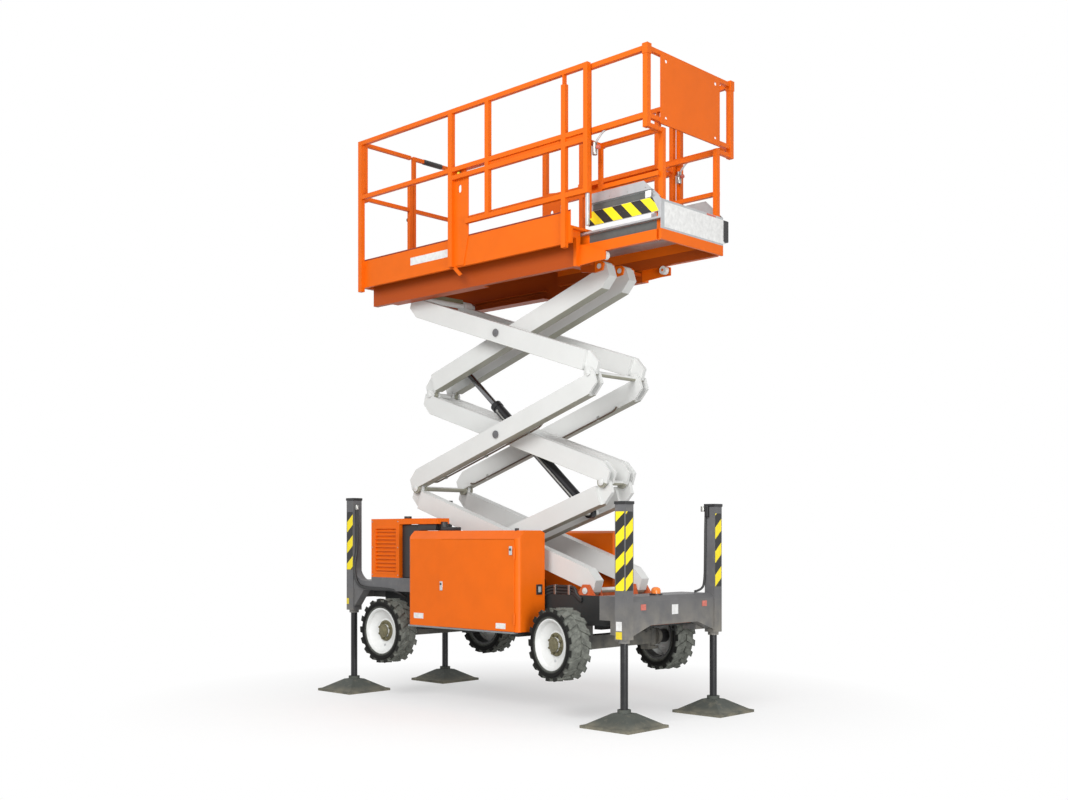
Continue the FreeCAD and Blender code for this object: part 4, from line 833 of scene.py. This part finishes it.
for side, name in SIDES:
    y_band = side * (ROLL_OUT_Y + 0.0010)
    y_latch = side * LATCH_Y
    bm = bmesh.new()
    add_plate(bm, [(BAND_REAR, y_band, BAND_Z[0]), (BAND_FRONT[0], y_band, BAND_Z[0]),
                   (BAND_FRONT[1], y_band, BAND_Z[1]), (BAND_REAR, y_band, BAND_Z[1])], (0, -side * SKIN, 0))
    piece(name + "_hazard_band", bm, "roll_out", STRIPES_BAND)
    # Dark strips in the recess above the band and below the deck's side plate: painted shadow
    boxes(name + "_fold_shadow", "roll_out", FOLD_PAINTED_SHADOW, [
        facing(side, 0.3810, 0.3822, BAND_REAR + 0.030, 1.700, 4.042, 4.093)])
    boxes(name + "_deck_shadow", "roll_out", FOLD_PAINTED_SHADOW, [
        facing(side, 0.3660, 0.3672, 1.120, 1.800, 3.7870, 3.8640)])
    rods(name + "_band_rivets", "roll_out", STEEL_BOLT, [
        ((x, side * 0.4025, 4.120), (x, side * 0.4052, 4.120), 0.005)
        for x in (1.18, 1.36, 1.54, 1.72)], 10, 0.001)
    boxes(name + "_board_label", "roll_out", BLANK_WHITE, [
        facing(side, ROLL_OUT_Y, ROLL_OUT_Y + SKIN, 1.716, 1.775, 4.040, 4.092)])
    # Zinc foot below the guide post, and the sprung latch on the rail above it
    boxes(name + "_guide_foot", "platform", ZINC, [
        facing(side, SKIRT_FACE, 0.5975, 1.276, 1.304, 3.870, 4.125)], 0.003)
    rods(name + "_latch_body", "roll_out", STEEL_BOLT, [
        ((LATCH_X, y_latch, 4.420), (LATCH_X, y_latch, 4.520), 0.020)], 20, 0.004)
    rods(name + "_latch_ring", "roll_out", REFLECTOR, [
        ((1.348, y_latch, 4.476), (1.372, y_latch, 4.476), 0.016)], 16, 0.002)
    hose(name + "_latch_lever", [
        (1.330, y_latch, 4.512), (1.365, y_latch, 4.545), (1.400, y_latch, 4.580), (1.430, y_latch, 4.590)],
        0.008, "roll_out", ZINC)
boxes("front_black_box", "roll_out", BLACK_PLASTIC, [
    ((1.838, 0.404, 3.820), (1.878, 0.470, 3.992))], 0.006)


# Stage: camera, light and floor

SKY_STRENGTH = 0.60
LIT_POINT = Vector((0, 0, 2.5))
LAMPS = (
    # name, place, power, size
    ("key_light", (3.0, -9.0, 7.5), 720.0, 5.0),
    ("fill_light", (9.0, -4.0, 1.4), 560.0, 4.0),
)
# The floor throws light back up as a mid grey does, though the camera sees it pale
FLOOR_BOUNCE = (0.42, 0.42, 0.41)
# The floor's own glow grows from its first share to its last between these distances from the middle
FLOOR_FADE = (1.4, 3.6, 0.45, 1.0)
FLOOR_RADIUS = 60.0


def seen_share(tree):
    """A share that is 1 for what the camera sees, straight on or in gloss and glass."""
    path = tree.nodes.new("ShaderNodeLightPath")
    mirrored = math_node(tree, "MAXIMUM", path.outputs["Is Camera Ray"], path.outputs["Is Glossy Ray"])
    return math_node(tree, "MAXIMUM", mirrored, path.outputs["Is Transmission Ray"])


def mix_shaders(tree, share, first, second, target):
    """Sends a mix of two shaders on to an output."""
    both = tree.nodes.new("ShaderNodeMixShader")
    for slot, value in zip(both.inputs, (share, first, second)):
        tree.links.new(value, slot)
    tree.links.new(both.outputs["Shader"], target.inputs["Surface"])


def make_camera():
    data = bpy.data.cameras.new("photo_camera")
    data.sensor_width = SENSOR
    data.lens = FOCAL_PX / PHOTO_W * SENSOR
    data.shift_x = (PHOTO_W / 2 - CENTRE_PX[0]) / PHOTO_W
    data.shift_y = (CENTRE_PX[1] - PHOTO_H / 2) / PHOTO_W
    data.clip_end = 200.0
    camera = bpy.data.objects.new("photo_camera", data)
    camera.location = CAMERA_AT
    camera.rotation_euler = (math.pi / 2, 0.0, CAMERA_TURN)
    bpy.context.scene.collection.objects.link(camera)
    bpy.context.scene.camera = camera


def make_light():
    """A soft white sky that the camera sees as plain white, and two lamps."""
    world = bpy.data.worlds.new("studio")
    bpy.context.scene.world = world
    world.use_nodes = True
    tree = world.node_tree
    sky = tree.nodes["Background"]
    sky.inputs["Color"].default_value = (1.0, 1.0, 1.0, 1.0)
    sky.inputs["Strength"].default_value = SKY_STRENGTH
    seen = add_node(tree, "ShaderNodeBackground", Color=(1.0, 1.0, 1.0, 1.0), Strength=1.0)
    mix_shaders(tree, seen_share(tree), sky.outputs[0], seen.outputs[0], tree.nodes["World Output"])
    for name, place, power, size in LAMPS:
        data = bpy.data.lights.new(name, "AREA")
        data.energy = power
        data.size = size
        lamp = bpy.data.objects.new(name, data)
        lamp.location = place
        lamp.rotation_euler = (LIT_POINT - Vector(place)).to_track_quat("-Z", "Y").to_euler()
        bpy.context.scene.collection.objects.link(lamp)


def make_floor():
    """A pale floor that keeps the shadow near the machine and fades to the white background."""
    bm = bmesh.new()
    bmesh.ops.create_circle(bm, cap_ends=True, segments=64, radius=FLOOR_RADIUS)
    mesh = bpy.data.meshes.new("floor")
    bm.to_mesh(mesh)
    bm.free()
    floor = bpy.data.objects.new("floor", mesh)
    bpy.context.scene.collection.objects.link(floor)
    material, tree, shader = new_material("floor_pale")
    seen = seen_share(tree)
    pale = mix(tree, noise(tree, 3.0), (0.86, 0.86, 0.86), (0.90, 0.90, 0.90))
    tree.links.new(mix(tree, seen, FLOOR_BOUNCE, pale), shader.inputs["Base Color"])
    shader.inputs["Roughness"].default_value = 0.9
    length = tree.nodes.new("ShaderNodeVectorMath")
    length.operation = "LENGTH"
    tree.links.new(object_coords(tree), length.inputs[0])
    glow_share = math_node(tree, "MULTIPLY", ramp(tree, length.outputs["Value"], *FLOOR_FADE), seen)
    glow = add_node(tree, "ShaderNodeEmission", Strength=1.0)
    mix_shaders(tree, glow_share, shader.outputs[0], glow.outputs[0], tree.nodes["Material Output"])
    mesh.materials.append(material)


make_camera()
make_light()
make_floor()

bpy.context.scene.view_settings.view_transform = "Standard"
